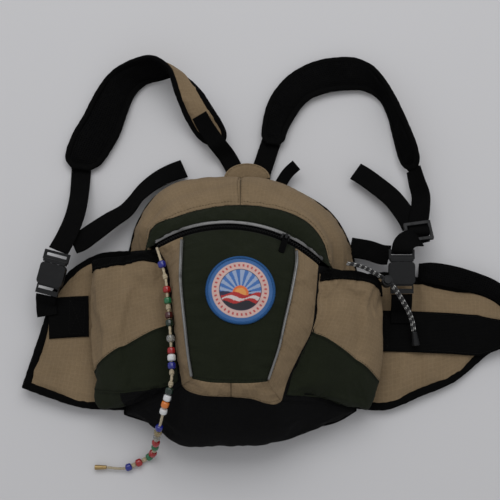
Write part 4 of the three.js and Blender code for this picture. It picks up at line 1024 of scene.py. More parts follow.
class PACK_OT_shell(bpy.types.Operator):
    """Khaki crown, black side walls and black base of the pack"""

    bl_idname = "pack.shell"
    bl_label = "Shell"

    def execute(self, context):
        """Builds the piece."""
        sizes = context.scene.pack_sizes
        crown = loft([mm(r) for r in ARCH], 132, 24)
        crown = grooved(crown, [-2.8, 0, 0], [1, 0, 0])
        far = edge_distance(crown)[0]
        place = np.broadcast_to(lengths(crown[12])[None], far.shape)
        down = np.linspace(0, 1, crown.shape[0])[:, None]
        fold = ripple(place + 0.4 * far, 0.09, 5) * np.sin(np.pi * down) ** 1.5
        clear = 1 - np.exp(-((crown[..., 0] + 0.0028) / 0.016) ** 2)
        sag = np.exp(-((down - 0.68 - 0.06 * ripple(place, 0.2, 8)) / 0.13) ** 2) * clear
        sag = sag * (0.75 + 0.35 * ripple(place, 0.15, 4)) + 0.3 * np.sin(np.pi * down)
        crown = crown + outward_normals(crown) * (0.0014 * fold - 0.0068 * sag)[..., None]
        obj = panel("crown", crown, finish("khaki"), grow=sizes.slack * 0.9, pucker=0.9, cap=2.2)
        piece(obj, "khaki_cloth", "crown_gusset")
        for side in ("left", "right"):
            wall = loft([mm(r) for r in SIDE[side]], 44, 22)
            obj = panel(f"{side}_wall", wall, finish("black"), grow=0.01, pucker=0.3, cap=1.0, subdivide=0)
            piece(obj, "black_cloth", f"{side}_side_panel")
        base = loft([mm(r) for r in BASE], 80, 26)
        obj = panel("base", base, finish("black"), grow=sizes.slack, pucker=0.6, cap=3.5, seed=11)
        piece(obj, "black_cloth", "base_panel")
        seam = grids["crown"]
        j = int(np.abs(seam[12, :, 0] + 0.0028).argmin())
        lines = [column_line("crown", j - 1), column_line("crown", j + 1), row_line("crown", 23),
                 row_line("crown", 1)]
        sew("crown_stitching", lines, "thread_khaki", "khaki_cloth")
        seam_line("crown_seam", "crown", -2.8)
        return {"FINISHED"}


class PACK_OT_rain_band(bpy.types.Operator):
    """Green band between the crown and the zip, with its reflective piping"""

    bl_idname = "pack.rain_band"
    bl_label = "Rain band"

    def execute(self, context):
        """Builds the piece."""
        upper = along(mm(ARCH[3]), 100)
        upper = along(np.vstack([upper[0] - unit(upper[2] - upper[0]) * 0.007, upper[::10],
                                 upper[-1] + unit(upper[-1] - upper[-3]) * 0.007]), 100)
        lower = zip_line(ZIP_WIDTH - 0.2, 1.4, 100, -0.035, 1.035)
        band = strip_grid(upper, lower, 14, bulge=2.5)
        obj = panel("rain_band", band, finish("green"), grow=0.03, pucker=0.5, cap=2.2, seed=3)
        piece(obj, "green_cloth", "upper_band")
        ridge = zip_line(ZIP_WIDTH - 0.4, 2.2, 120, 0.0, 1.0)
        side = zip_frame(np.linspace(0, 1, 121))[1]
        parts = [sweep_parts(ridge, round_section(1.0, 12)),
                 sweep_parts(ridge + side * 0.0018, flat_section(3.0, 0.8), side)]
        vertices, faces, uvs = joined(parts)
        piece(new_object("band_piping_tape", vertices, faces, [finish("piping")], uvs), "grey_piping",
              "band_piping")
        sew("band_stitching", [row_line("rain_band", 1), row_line("rain_band", 12)], "thread_dark",
            "green_cloth")
        return {"FINISHED"}


class PACK_OT_front_zip(bpy.types.Operator):
    """Coil zip with its tape, teeth, slider and woven pull"""

    bl_idname = "pack.front_zip"
    bl_label = "Front zip"

    def execute(self, context):
        """Builds the piece."""
        parts = []
        for side in (-1, 1):
            middle = zip_line(ZIP_WIDTH / 2 + side * 2.6, -0.7, 90)
            parts.append(sweep_parts(middle, flat_section(3.4, 0.9), zip_frame(np.linspace(0, 1, 91))[1]))
        obj = joined_object("zip_tape", parts, "tape")
        piece(obj, "zip_coil", "front_zip")
        length = lengths(zip_line(ZIP_WIDTH / 2, 0, 200))[-1]
        count = int(length / 0.0016)
        foot, across, out, tangent = zip_frame((np.arange(count) + 0.5) / count)
        teeth = []
        for k in range(count):
            side = 1 if k % 2 else -1
            centre = foot[k] + across[k] * ZIP_WIDTH / 2 * MM
            reach = np.array([-0.4, 0.9, 2.1])[:, None] * MM * side
            rise = np.array([0.55, 0.75, 0.1])[:, None] * MM
            teeth.append(sweep_parts(centre + across[k] * reach + out[k] * rise, round_section(0.62, 6),
                                     tangent[k]))
        obj = joined_object("zip_teeth", teeth, "coil")
        piece(obj, "zip_coil", body="pack")
        dress("zip_slider", "plastic", 0.9)
        dress("zip_pull", "tape", 0.35)
        return {"FINISHED"}


class PACK_OT_front(bpy.types.Operator):
    """Green front panel between grey pipings, khaki side gussets and bottom strip"""

    bl_idname = "pack.front"
    bl_label = "Front"

    def execute(self, context):
        """Builds the piece."""
        sizes = context.scene.pack_sizes
        face = front_grid(46, 50)
        obj = panel("front_face", face, finish("green"), grow=sizes.slack * 0.6, pucker=0.45, cap=2.0,
                    seed=21)
        piece(obj, "green_cloth", "front_panel")
        seams = {"left": FRONT_LEFT, "right": FRONT_RIGHT}
        shares = {"left": LEFT_SHARE, "right": RIGHT_SHARE}
        for side, seam in seams.items():
            start = zip_frame(shares[side])[0]
            inner = along(np.vstack([start, mm(seam)]), 60)
            outer = along(mm(SIDE[side][3]), 60)
            gusset = strip_grid(outer, inner, 16, bulge=1.2)
            obj = panel(f"{side}_front_gusset", gusset, finish("khaki"), grow=sizes.slack * 1.3, pucker=0.8,
                        cap=3.0, seed=31)
            piece(obj, "khaki_cloth", f"{side}_gusset")
            ridge = spaced(inner[2:-1], 90)
            ridge = ridge - inward(ridge) * 0.0027
            over = np.cross(inward(ridge), np.gradient(ridge, axis=0))
            parts = [sweep_parts(ridge, round_section(1.35, 12)),
                     sweep_parts(ridge + inward(ridge) * 0.002, flat_section(2.6, 1.6), over)]
            obj = joined_object(f"{side}_piping_tape", parts, "piping")
            piece(obj, "grey_piping", f"{side}_piping")
        top, low = along(mm(FRONT_BOTTOM), 56), along(mm(BASE[3]), 56)
        strip = grooved(strip_grid(top, low, 8, bulge=0.6), [-12.2, 0, 0], [1, 0, 0])
        obj = panel("bottom_band", strip, finish("khaki"), grow=0.05, pucker=1.0, cap=2.5, seed=41)
        piece(obj, "khaki_cloth", "bottom_strip")
        seam_line("bottom_seam", "bottom_band", -12.2)
        sew("front_stitching", [column_line("front_face", 1), column_line("front_face", 45),
                                row_line("front_face", 49)],
            "thread_dark", "green_cloth")
        sew("gusset_stitching", [row_line("left_front_gusset", 15), row_line("right_front_gusset", 15),
                                 row_line("bottom_band", 7)],
            "thread_khaki", "khaki_cloth")
        return {"FINISHED"}


PATCH_CENTRE, PATCH_RADIUS = mm([-2, -7]), 38 * MM


def patch_ink(x, y):
    """Colours at places of the round patch: a blue rim, a pale ring and a hill under a rising sun."""
    r = np.hypot(x, y) / PATCH_RADIUS
    turn = np.arctan2(y, x)
    blue, pale, navy = (0.035, 0.125, 0.33), (0.62, 0.42, 0.38), (0.015, 0.02, 0.06)
    white, orange, red = (0.62, 0.55, 0.54), (0.70, 0.16, 0.04), (0.42, 0.02, 0.02)
    ink = np.empty((*r.shape, 3))
    ink[:] = navy
    px, py = x / PATCH_RADIUS, y / PATCH_RADIUS

    def paint(mask, colour):
        ink[mask] = colour

    paint(py > -0.05, (0.05, 0.15, 0.42))
    rays = np.sin(18 * np.arctan2(py + 0.12, px)) > 0
    paint((py > -0.12) & rays & (np.hypot(px, py + 0.12) > 0.24), (0.30, 0.38, 0.55))
    paint(np.hypot(px, py + 0.12) < 0.24, orange)
    paint(np.hypot(px, py + 0.12) < 0.17, (0.75, 0.32, 0.08))
    paint(py < -0.12 - 0.05 * np.sin(9 * px), red)
    paint((py < -0.22 - 0.05 * np.sin(9 * px + 1)), white)
    paint(py < -0.30 - 0.05 * np.sin(9 * px + 2), red)
    paint(py < -0.37 - 0.05 * np.sin(9 * px + 3), (0.012, 0.012, 0.02))
    paint(r > 0.60, navy)
    paint(r > 0.63, pale)
    dots = (np.abs(r - 0.735) < 0.035) & (np.sin(36 * turn) > 0.1)
    paint(dots, (0.45, 0.06, 0.06))
    paint(r > 0.835, blue)
    return ink


class PACK_OT_patch(bpy.types.Operator):
    """Round embroidered patch with a stitched rim, on the front panel"""

    bl_idname = "pack.patch"
    bl_label = "Patch"

    def execute(self, context):
        """Builds the piece."""
        face = grids["front_face"]
        flat = face.reshape(-1, 3)

        def lie(x, y, lift):
            """Points above the front panel at places of the patch."""
            near = []
            for px, py in zip(np.ravel(x + PATCH_CENTRE[0]), np.ravel(y + PATCH_CENTRE[1])):
                away = (flat[:, 0] - px) ** 2 + (flat[:, 1] - py) ** 2
                best = np.argpartition(away, 9)[:9]
                weight = 1 / (away[best] + 1e-6)
                near.append((flat[best, 2] * weight).sum() / weight.sum())
            return np.stack([np.ravel(x + PATCH_CENTRE[0]), np.ravel(y + PATCH_CENTRE[1]),
                             np.array(near) + np.ravel(lift)], -1)

        rings, turns = 52, 180
        r = np.linspace(0.02, 1, rings)[:, None] * PATCH_RADIUS
        t = np.linspace(0, 2 * np.pi, turns, endpoint=False)[None]
        x, y = r * np.cos(t), r * np.sin(t)
        ink = patch_ink(x, y)
        thread = 0.00012 * np.sin(2 * np.pi * (x + y) / 0.0011)
        lift = 0.0016 + thread
        vertices = lie(x, y, lift)
        index = np.hstack([np.arange(rings * turns).reshape(rings, turns), np.arange(rings)[:, None] * turns])
        faces = [*quads(index), tuple(index[0, :-1])]
        obj = new_object("patch_face", vertices, faces, [finish("patch")], vertices[:, :2])
        colours = obj.data.color_attributes.new("Ink", "FLOAT_COLOR", "POINT")
        rgba = np.concatenate([ink.reshape(-1, 3), np.ones((rings * turns, 1))], 1)
        colours.data.foreach_set("color", rgba.astype(np.float32).ravel())
        solid = obj.modifiers.new("backing", "SOLIDIFY")
        solid.thickness, solid.offset = 0.0012, -1
        piece(obj, "woven_patch", "round_patch")
        count = 210
        around = np.linspace(0, 2 * np.pi, count, endpoint=False)
        stitches = []
        inner = lie(0.955 * PATCH_RADIUS * np.cos(around), 0.955 * PATCH_RADIUS * np.sin(around),
                    np.full(count, 0.0018))
        middle = lie(0.99 * PATCH_RADIUS * np.cos(around), 0.99 * PATCH_RADIUS * np.sin(around),
                     np.full(count, 0.0024))
        outer = lie(1.02 * PATCH_RADIUS * np.cos(around + 0.02), 1.02 * PATCH_RADIUS * np.sin(around + 0.02),
                    np.full(count, 0.0008))
        for a, b, c in zip(inner, middle, outer):
            stitches.append(sweep_parts(np.array([a, b, c]), round_section(0.62, 6)))
        obj = joined_object("patch_rim", stitches, "thread_rim")
        piece(obj, "woven_patch", body="pack")
        return {"FINISHED"}


# ---------------------------------------------------------------- bottle pockets
POCKETS = {
    "left": {
        "core": [-152, 42], "mouth": 0.08,
        "rows": [
            [[-146, 46, 19], [-170, 46, 20], [-181, 46, 32], [-175, 46, 46], [-135, 46, 66], [-112, 46, 77]],
            [[-146, -25, 19], [-172, -25, 20], [-182, -25, 32], [-174, -28, 50], [-136, -26, 72],
             [-104, -20, 82]],
            [[-146, -84, 19], [-168, -86, 19], [-174, -89, 28], [-167, -87, 44], [-139, -76, 68],
             [-104, -60, 82]],
            [[-146, -122, 19], [-160, -124, 20], [-168, -125, 27], [-154, -117, 44], [-134, -106, 62],
             [-104, -98, 76]],
        ],
        "cuts": [([-127.7, -60.6, 57.5], [-0.38, 0.89, -0.22], [-0.78, -0.44, -0.43], 0),
                 ([-110.4, -105, 56.7], [-0.2, 0.86, 0.47], [0.83, -0.11, 0.55], 0)],
    },
    "right": {
        "core": [140, 42], "mouth": 0.06,
        "rows": [
            [[146, 24, 19], [158, 20, 19], [166, 15, 30], [160, 20, 50], [141, 25, 68], [118, 25, 79]],
            [[144, -25, 19], [158, -24, 19], [166, -23, 28], [157, -25, 50], [137, -22, 72], [110, -22, 84]],
            [[143, -86, 19], [154, -90, 19], [160, -92, 28], [148, -88, 48], [123, -74, 72], [98, -60, 86]],
            [[142, -124, 19], [146, -126, 20], [148, -127, 28], [130, -118, 50], [110, -113, 66],
             [88, -108, 80]],
        ],
        "cuts": [([120, -73, 54], [0.43, 0.875, -0.22], [0.68, -0.47, -0.56], 0),
                 ([84, -123, 62], [0.28, 0.87, 0.42], [0.89, -0.06, -0.46], 12)],
    },
}


def wall_point(wall, v, w, lift=1.0):
    """A point just outside a side wall: v runs down from the mouth, w out from the back."""
    down = [spaced(spline(row), 400)[round(400 * v)] for row in wall]
    curve = spline(mm(down), 60)
    p = curve[round(w * (len(curve) - 1))]
    return p - inward(p) * lift * MM


def pocket_grid(side, cols=70, rows=80):
    """Points of a pocket's cloth, from its mouth down to its foot."""
    pocket, wall = POCKETS[side], SIDE[side]
    shares = [pocket["mouth"], 0.42, 0.72, 0.9]
    lines = []
    for row, share in zip(pocket["rows"], shares):
        lines.append(along(np.vstack([mm(row), wall_point(wall, share, 0.97)]), cols))
    foot = [wall_point(wall, 0.95, 0.1 + 0.87 * j / cols) for j in range(cols + 1)]
    lines.append(spaced(spline(np.array(foot)[::7]), cols))
    return np.stack([along([line[j] for line in lines], rows) for j in range(cols + 1)], axis=1)


def pocket_inward(side, p):
    """Directions from points of a pocket to the middle of it."""
    x, z = POCKETS[side]["core"]
    middle = np.stack([np.full(p.shape[:-1], x * MM), p[..., 1].clip(-0.08, 0.045),
                       np.full(p.shape[:-1], z * MM)], -1)
    return unit(middle - p)


def cut_seam(obj, point, normal, direction, arch, slot_above, slot_below):
    """Cuts a panel's faces along a seam, gives the cloth below another slot and returns the seam's points."""
    point, normal, direction = mm(point), unit(np.array(normal, float)), unit(np.array(direction, float))
    shape = bmesh.new()
    shape.from_mesh(obj.data)

    def warp(sign):
        for v in shape.verts:
            s = ((np.array(v.co) - point) @ direction) / 0.05
            v.co = v.co + type(v.co)(normal * (sign * arch * MM * (s * s - 0.35)))

    warp(1)
    geometry = [*shape.verts, *shape.edges, *shape.faces]
    cut = bmesh.ops.bisect_plane(shape, geom=geometry, plane_co=point, plane_no=normal, dist=1e-5)
    seam = [v for v in cut["geom_cut"] if isinstance(v, bmesh.types.BMVert)]
    for face in shape.faces:
        if (np.array(face.calc_center_median()) - point) @ normal < 0 and face.material_index == slot_above:
            face.material_index = slot_below
    warp(-1)
    line = np.array([v.co[:] for v in seam])
    shape.to_mesh(obj.data)
    shape.free()
    return line


def seam_order(line, core):
    """Cut points put in order round the pocket."""
    around = np.arctan2(line[:, 2] - core[1] * MM, line[:, 0] - core[0] * MM)
    start = np.sort(around)
    gaps = np.diff(np.append(start, start[0] + 2 * np.pi))
    first = start[(gaps.argmax() + 1) % len(start)]
    return line[np.argsort((around - first) % (2 * np.pi))]


class PACK_OT_bottle_pocket(bpy.types.Operator):
    """Bottle pocket of three cloths with topstitched seams and a bound mouth"""

    bl_idname = "pack.bottle_pocket"
    bl_label = "Bottle pocket"

    side: bpy.props.EnumProperty(name="Side", description="Side of the pack",
                                 items=[("left", "Left", "Left pocket"), ("right", "Right", "Right pocket")])

    def execute(self, context):
        """Builds the piece."""
        side, pocket = self.side, POCKETS[self.side]
        sizes = context.scene.pack_sizes
        grid = pocket_grid(side)
        toward = pocket_inward(side, grid)
        normal = normals_of(grid)
        normal *= -np.sign((normal * toward).sum())
        rows, cols = grid.shape[:2]
        v, u = np.meshgrid(np.linspace(0, 1, rows), np.linspace(0, 1, cols), indexing="ij")
        creases = ripple(0.09 * u + 0.05 * v, 0.05, 17 if side == "left" else 29)
        creases += 0.6 * ripple(0.12 * v - 0.03 * u, 0.035, 5)
        calm = np.sin(np.pi * v.clip(0, 1)) ** 0.7 * np.sin(np.pi * u) ** 0.5
        grid = grid + normal * (creases * calm * (0.0012 + 0.0012 * v))[..., None]
        mouth_wave = ripple(u * 0.25, 0.11, 3) * np.exp(-v * 10) * np.sin(np.pi * u)
        grid = grid + normal * (mouth_wave * 0.0012)[..., None]
        index = np.arange(rows * cols).reshape(rows, cols)
        facing = (normals_of(grid) * normal).sum() > 0
        cloths = [finish("khaki"), finish("green"), finish("black")]
        obj = new_object(f"{side}_bottle_pocket", grid.reshape(-1, 3), quads(index, facing), cloths,
                         grid_uvs(grid))
        settle(obj, border((rows, cols)).ravel(), sizes.slack * 1.5, 0, cap=0.005)
        grid = coordinates(obj).reshape(rows, cols, 3)
        lines = []
        for k, (point, direction, along_seam, arch) in enumerate(pocket["cuts"]):
            line = cut_seam(obj, point, direction, along_seam, arch, k, k + 1)
            ordered = spaced(seam_order(line, pocket["core"]), 160)
            lines.append(ordered)
        if side == "left":
            cut_seam(obj, [-139, -110, 40], [1, 0, 0.1], [0, 1, 0], 0, 2, 1)
        solid = obj.modifiers.new("lining", "SOLIDIFY")
        solid.thickness, solid.offset = 0.0014, -1
        piece(obj, "khaki_cloth", f"{side}_pocket")
        stitched, welts = [], []
        for line, (point, direction, _, _) in zip(lines, pocket["cuts"]):
            line = line[2:-2]
            out = -pocket_inward(side, line)
            over = unit(np.array(direction, float)) * 0.0022
            stitched += [line + out * 0.0006 + over, line + out * 0.0006 - over]
            welts.append(sweep_parts(line + out * 0.0002, flat_section(1.6, 0.9),
                                     unit(np.array(direction, float))))
        sew(f"{side}_pocket_stitching", stitched, "thread_dark", "khaki_cloth", radius=0.2)
        piece(joined_object(f"{side}_pocket_welts", welts, "green"), "green_cloth", body="pack")
        step = np.linalg.norm(grid[1, cols // 2] - grid[0, cols // 2])
        deep = max(3, round(0.0115 / step)) + 1
        normal = normals_of(grid)
        normal *= -np.sign((normal * toward).sum())
        band, out = grid[:deep], normal[:deep]
        bumps = 0.0005 * ripple(np.linspace(0, 0.28, cols), 0.02, 9)[None, :, None] * (side == "right")
        lip = band[:1] - unit(band[1:2] - band[:1]) * 0.0012
        ring = np.concatenate([(band + out * (0.0013 + bumps))[::-1], lip, band - out * 0.0024])
        index = np.arange(len(ring) * cols).reshape(len(ring), cols)
        index = np.vstack([index, index[:1]])
        uvs = np.stack(np.meshgrid(np.arange(cols) * 0.0035, np.arange(len(ring)) * step), -1).reshape(-1, 2)
        obj = new_object(f"{side}_pocket_hem", ring.reshape(-1, 3), quads(index), [finish("tape")], uvs)
        piece(obj, "black_webbing", f"{side}_pocket_binding")
        sew(f"{side}_hem_stitching", [(band + out * 0.0017)[-2, 2:-2]], "thread_dark", "black_webbing")
        return {"FINISHED"}


# ---------------------------------------------------------------- belt wings
CREASE = [[-228, 14, 17.4], [-239.3, -25, 17.4], [-250.7, -64, 17.4], [-262, -103, 17.4]]
LEFT_WING = [
    [[-141.2, 66, 6], [-141.2, 0, 6], [-141.2, -70, 6], [-141.2, -128, 6]],
    [[-176, 60, 15.4], [-180, 2, 15.4], [-184, -66, 15.4], [-190, -126, 15.4]],
    [[-208, 40, 16.8], [-212, -8, 16.8], [-218, -66, 16.8], [-228, -115, 16.8]],
    CREASE,
]
LEFT_FLAP = [[[x, y, 8.5] for x, y, _ in CREASE],
             [[-222, 2, 5], [-224, -18, 5], [-226, -34, 5], [-229, -50, 5]]]
RIGHT_WING = [
    [[141.4, 34, 6], [139.8, -30, 6], [137.6, -90, 6], [135.4, -126, 6]],
    [[175, 38, 9.6], [174, -30, 9.6], [172, -86, 9.6], [170, -128, 9.6]],
    [[212, 32, 10], [212, -30, 10], [212, -76, 10], [212, -112, 10]],
    [[252, 24, 10], [252, -20, 10], [252, -60, 9], [252, -95, 8]],
    [[300, 14, 9], [302, -12, 9], [302, -36, 8], [300, -58, 7]],
    [[338, -14, 7], [344, -24, 7], [344, -34, 7], [338, -42, 7]],
]


def padding(grid, foam, rim=6.0, seed=SEED):
    """Half thickness of a padded piece at each grid point, a little uneven and thin at its edge."""
    far, place = edge_distance(grid)
    edge = min(1.5, foam / 4)
    full = ((far / MM - rim) / (rim + 4)).clip(0, 1)
    uneven = 1 + 0.07 * ripple(place, 0.06, seed) * np.clip(far / 0.02, 0, 1)
    return (edge + (foam / 2 - edge) * full * full * (3 - 2 * full)) * MM * uneven


def tape_round(name, lines, slot, body, width, thickness):
    """Binding tape over given border lines of a padded grid; each line comes with the line just inside it."""
    parts = []
    for line, inner in lines:
        count = 200
        line, inner = spaced(line, count), spaced(inner, count)
        inwards = unit(inner - line)
        centre = line + inwards * (width / 2 - 1.2) * MM
        wave = 1 + 0.05 * ripple(lengths(line), 0.013, len(name))
        parts.append(sweep_parts(centre, flat_section(width, thickness, crown=0.15), inwards, wave))
    obj = joined_object(name, parts, "tape")
    if body is not None:
        piece(obj, slot, body=body)
    return obj


def edge_pairs(grid, sides):
    """Border lines of a grid, each with the grid line a little inside it."""
    found = {
        "top": (grid[0], grid[3]), "foot": (grid[-1], grid[-4]),
        "first": (grid[:, 0], grid[:, 3]), "last": (grid[:, -1], grid[:, -4]),
    }
    return [found[s] for s in sides]


class PACK_OT_belt_wings(bpy.types.Operator):
    """Padded belt wings, khaki over mesh, bound with tape, the left end folded under"""

    bl_idname = "pack.belt_wings"
    bl_label = "Belt wings"

    def execute(self, context):
        """Builds the piece."""
        khaki, mesh = finish("khaki"), finish("mesh")
        grid = loft([mm(r) for r in LEFT_WING], 64, 46)
        wing = pillow("left_belt_wing", grid, padding(grid, 8.4), [khaki, mesh], up=[0, 0, 1], cap=1.2)
        piece(wing, "khaki_cloth", "left_wing")
        tape_round("left_wing_tape", edge_pairs(grid, ["first", "last", "foot"]), "black_webbing", "pack",
                   9.5, 5.6)
        grid = loft([mm(r) for r in LEFT_FLAP], 40, 18)
        flap = pillow("left_wing_end", grid, padding(grid, 7.0), [mesh, khaki], up=[0, 0, 1], cap=0.8)
        piece(flap, "air_mesh", "left_wing_flap")
        tape_round("left_end_tape", edge_pairs(grid, ["first", "last", "foot"]), "black_webbing",
                   "left_flap", 7, 4.4)
        grid = loft([mm(r) for r in RIGHT_WING], 52, 96)
        far = edge_distance(grid)[0]
        push = ripple(grid[..., 0] + 0.3 * grid[..., 1], 0.07, 12) * np.clip(far / 0.02, 0, 1) * 0.0006
        half = padding(grid, 8.4)
        half = half * (1 - 0.45 * np.exp(-((grid[..., 0] - 0.212) / 0.006) ** 2)) + push
        wing = pillow("right_belt_wing", grid, half, [khaki, mesh], up=[0, 0, 1], cap=1.2)
        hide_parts("right_wing_root", "right_wing")
        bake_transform(wing)
        tape = tape_round("right_wing_tape", edge_pairs(grid, ["first", "last", "foot"]), "black_webbing",
                          None, 9.5, 5.6)
        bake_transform(tape)
        outer = along(mm([[216, 50, 13], [234, 50.5, 14], [262, 45.5, 15], [288, 37, 15.4], [312, 26, 15],
                          [332, 8, 12.5],
                          [343, -10, 10.5]]), 90)
        inner = along(mm([[214, 25, 13.5], [234, 21, 14], [262, 15, 14], [288, 9, 14], [306, 1, 13.5],
                          [322, -12, 11.5],
                          [334, -22, 10.5]]), 90)
        across = np.linspace(0, 1, 21)[None, :, None]
        roll = outer[:, None] * (1 - across) + inner[:, None] * across
        far = edge_distance(roll)[0]
        half = 0.006 * np.sqrt(1 - (1 - (far / 0.011).clip(0, 1)) ** 2) * (1 + 0.06 * ripple(lengths(outer),
                0.03, 2))[:, None]
        obj = pillow("wing_mesh_roll", roll, half, [finish("mesh"), finish("mesh")], up=[0, 0, 1], cap=0.8)
        piece(obj, "air_mesh", "right_wing_mesh_roll")
        return {"FINISHED"}


# ---------------------------------------------------------------- shoulder straps
LEFT_PAD = [
    [[-224, 176, 8], [-225, 192, 8], [-218, 218, 8], [-204, 246, 8], [-190, 276, 10], [-172, 299, 18],
     [-145, 310, 32], [-116, 309, 48], [-97, 296, 50], [-84, 262, 36], [-73, 238, 20], [-58, 216, 12],
     [-42, 202, 12]],
    [[-188, 172, 8], [-178, 185, 8], [-160, 218, 8], [-150, 250, 8], [-141, 275, 6], [-125, 292, 5],
     [-104, 298, 5], [-86, 302, 8], [-58, 276, 24], [-38, 246, 26], [-24, 222, 22], [-20, 206, 16]],
]
RIGHT_PAD = [
    [[50, 204, 12], [54, 220, 10], [62, 238, 9], [82, 266, 9], [104, 277, 9], [132, 282, 8],
     [158, 281, 7], [178, 268, 6], [188, 245, 6], [194, 213, 7], [200, 184, 9], [207, 170, 11]],
    [[24, 208, 12], [25, 230, 10], [34, 266, 9], [57, 298, 9], [88, 317, 10], [116, 323, 12],
     [145, 322, 14], [166, 308, 20], [184, 277, 30], [207, 222, 34], [217, 190, 34], [220, 170, 30]],
]


class PACK_OT_shoulder_straps(bpy.types.Operator):
    """Padded shoulder straps, mesh on the wearer's side and khaki cloth on the other, bound with tape"""

    bl_idname = "pack.shoulder_straps"
    bl_label = "Shoulder straps"

    def execute(self, context):
        """Builds the piece."""
        for side, edges in (("left", LEFT_PAD), ("right", RIGHT_PAD)):
            first, last = (along(mm(edge), 170) for edge in edges)
            t = np.linspace(0, 1, 19)[None, :, None]
            middle = (first + last) / 2
            far = lengths(middle)
            to_end = np.minimum(far, far[-1] - far)
            narrow = np.sqrt(1 - (1 - (to_end / 0.012).clip(0, 1)) ** 2).clip(0.55)[:, None, None]
            grid = middle[:, None] + (first[:, None] * (1 - t) + last[:, None] * t - middle[:, None]) * narrow
            normal = normals_of(grid)
            crease = ripple(np.broadcast_to(far[:, None], grid.shape[:2]), 0.05,
                            4) * np.sin(np.pi * t[..., 0]) * 0.0006
            grid = grid + normal * crease[..., None]
            cloths = [finish("mesh"), finish("khaki")] if side == "left" else [finish("khaki"),
                    finish("mesh")]
            pad = pillow(f"{side}_pad", grid, padding(grid, 7.2, rim=4.5), cloths, cap=1.0)
            piece(pad, "air_mesh", f"{side}_strap_pad")
            tape_round(f"{side}_pad_tape", edge_pairs(grid, ["first", "last", "top", "foot"]),
                       "black_webbing", "pack", 7.2, 5.2)
        turn = np.linspace(0, np.pi, 41)[None, :, None]
        reach = np.linspace(0.02, 1, 12)[:, None, None]
        tab = np.concatenate([0.005 + 0.030 * reach * np.cos(turn), 0.160 + 0.021 * reach * np.sin(turn),
                              0.0106 + 0 * reach * turn], -1)
        obj = pillow("strap_tab", tab, padding(tab, 2.6, rim=1), [finish("khaki"), finish("khaki")],
                     up=[0, 0, 1], cap=0.2)
        piece(obj, "khaki_cloth", "top_tab")
        rim = along(tab[-1], 60)
        sew("strap_tab_stitching", [rim - (rim - mm([5, 160, 10.6])) * 0.12 + [0, 0, 0.0014]],
            "thread_khaki", "khaki_cloth")
        return {"FINISHED"}


# ---------------------------------------------------------------- webbing
WEB, BELT = 25.0, 50.0
STRIPS = {
    "left_belt_webbing": (BELT, [[-186, -18, 22.5], [-206, -19, 23.3], [-234, -21, 23.6]],
                          [[0, 1, 0], [0, 1, 0]]),
    "right_anchor_webbing": (WEB, [[39, 220, 4.6], [34, 205, 6.4], [28, 186, 7.2], [23, 170, 7.4],
                                   [21, 156.2, 6.6]],
                             [[1, 0, 0], [1, 0, 0]]),
    "haul_tail": (15.0, [[45.1, 149.2, 10.4], [56, 166, 14], [67, 175, 20]],
                  [[0.95, -0.3, 0], [0.6, -0.8, 0]]),
    "stabiliser_tab": (WEB, [[132.8, 69.9, 13.5], [154, 65, 18], [170, 58, 24], [178, 56, 30]],
                       [[-0.23, 0.97, 0], [0.3, 0.95, 0]]),
    "left_lower_webbing": (WEB, [[-206, 186, 1.6], [-206, 170, 3], [-205, 136, 16], [-207, 104, 31],
                                 [-214, 76, 42],
                                 [-221.7, 57.4, 46]],
                           [[1, 0, 0], [1, 0, 0], [1, 0, 0.2], [1, -0.1, 0.1], [0.97, -0.26, 0]]),
    "left_webbing_tail": (WEB, [[-206, 67, 38.8], [-198, 71, 35.9], [-184, 83, 32], [-163, 101, 26],
                                [-145, 115, 22],
                                [-131, 133, 22], [-119, 147, 18], [-104, 160, 13], [-89, 169, 9],
                                [-75, 175, 6]],
                          [[0.5, -0.85, 0], [0.7, -0.7, 0], [0.7, -0.7, 0.2], [0.6, -0.6, 0.6],
                           [0.5, -0.7, 0.2],
                           [0.5, -0.85, 0]]),
    "left_socket_strap": (WEB, [[-236, 5, 35], [-237, 0, 31], [-237, -6, 26.4], [-235, -18, 25.6]],
                          [[0.97, -0.26, 0], [0.97, -0.26, 0]]),
    "right_lower_webbing": (WEB, [[213.6, 169.3, 20.4], [217, 152, 21], [221, 134, 22], [219, 116, 26],
                                  [215.8, 100, 27.2], [214.9, 95.5, 27.8], [214.6, 91, 32],
                                  [214.5, 88, 36.4], [214.5, 85, 37.4],
                                  [214.5, 82, 36.8], [214.6, 79.4, 33.8], [214.8, 75, 31.2], [216, 70, 34]],
                            [[0.56, 0, 0.82], [0.8, 0, 0.5], [1, 0, 0.2], [1, 0, 0.1], [1, 0.1, 0],
                             [1, 0.14, 0], [1, 0.14, 0],
                             [1, 0.14, 0], [1, 0.14, 0]]),
    "right_feed_webbing": (WEB, [[214.5, 77, 35], [206, 74.5, 41], [198, 70, 47], [192.6, 63.5, 51.2],
                                 [190.8, 58.5, 52.2],
                                 [190.5, 55, 50.4], [190.5, 53.8, 45.5]],
                           [[0.6, -0.8, 0], [0.55, -0.83, 0], [0.8, -0.6, 0], [0.97, -0.2, 0], [1, 0, 0],
                            [1, 0, 0]]),
    "right_webbing_tail": (WEB, [[208, 91, 27.2], [205, 101, 23], [198, 115, 19.5], [186, 133, 16],
                                 [169, 149, 14],
                                 [152, 163, 12], [142, 170, 10]],
                           [[0.9, 0.4, 0], [0.85, 0.5, 0], [0.8, 0.6, 0], [0.7, 0.7, 0], [0.65, 0.75, 0]]),
    "right_socket_strap": (WEB, [[190.5, 5.8, 37.8], [190.7, -1, 34], [191, -8, 27], [191, -14, 20.5],
                                 [191, -26, 18.4]],
                           [[1, 0, 0], [1, 0, 0]]),
}


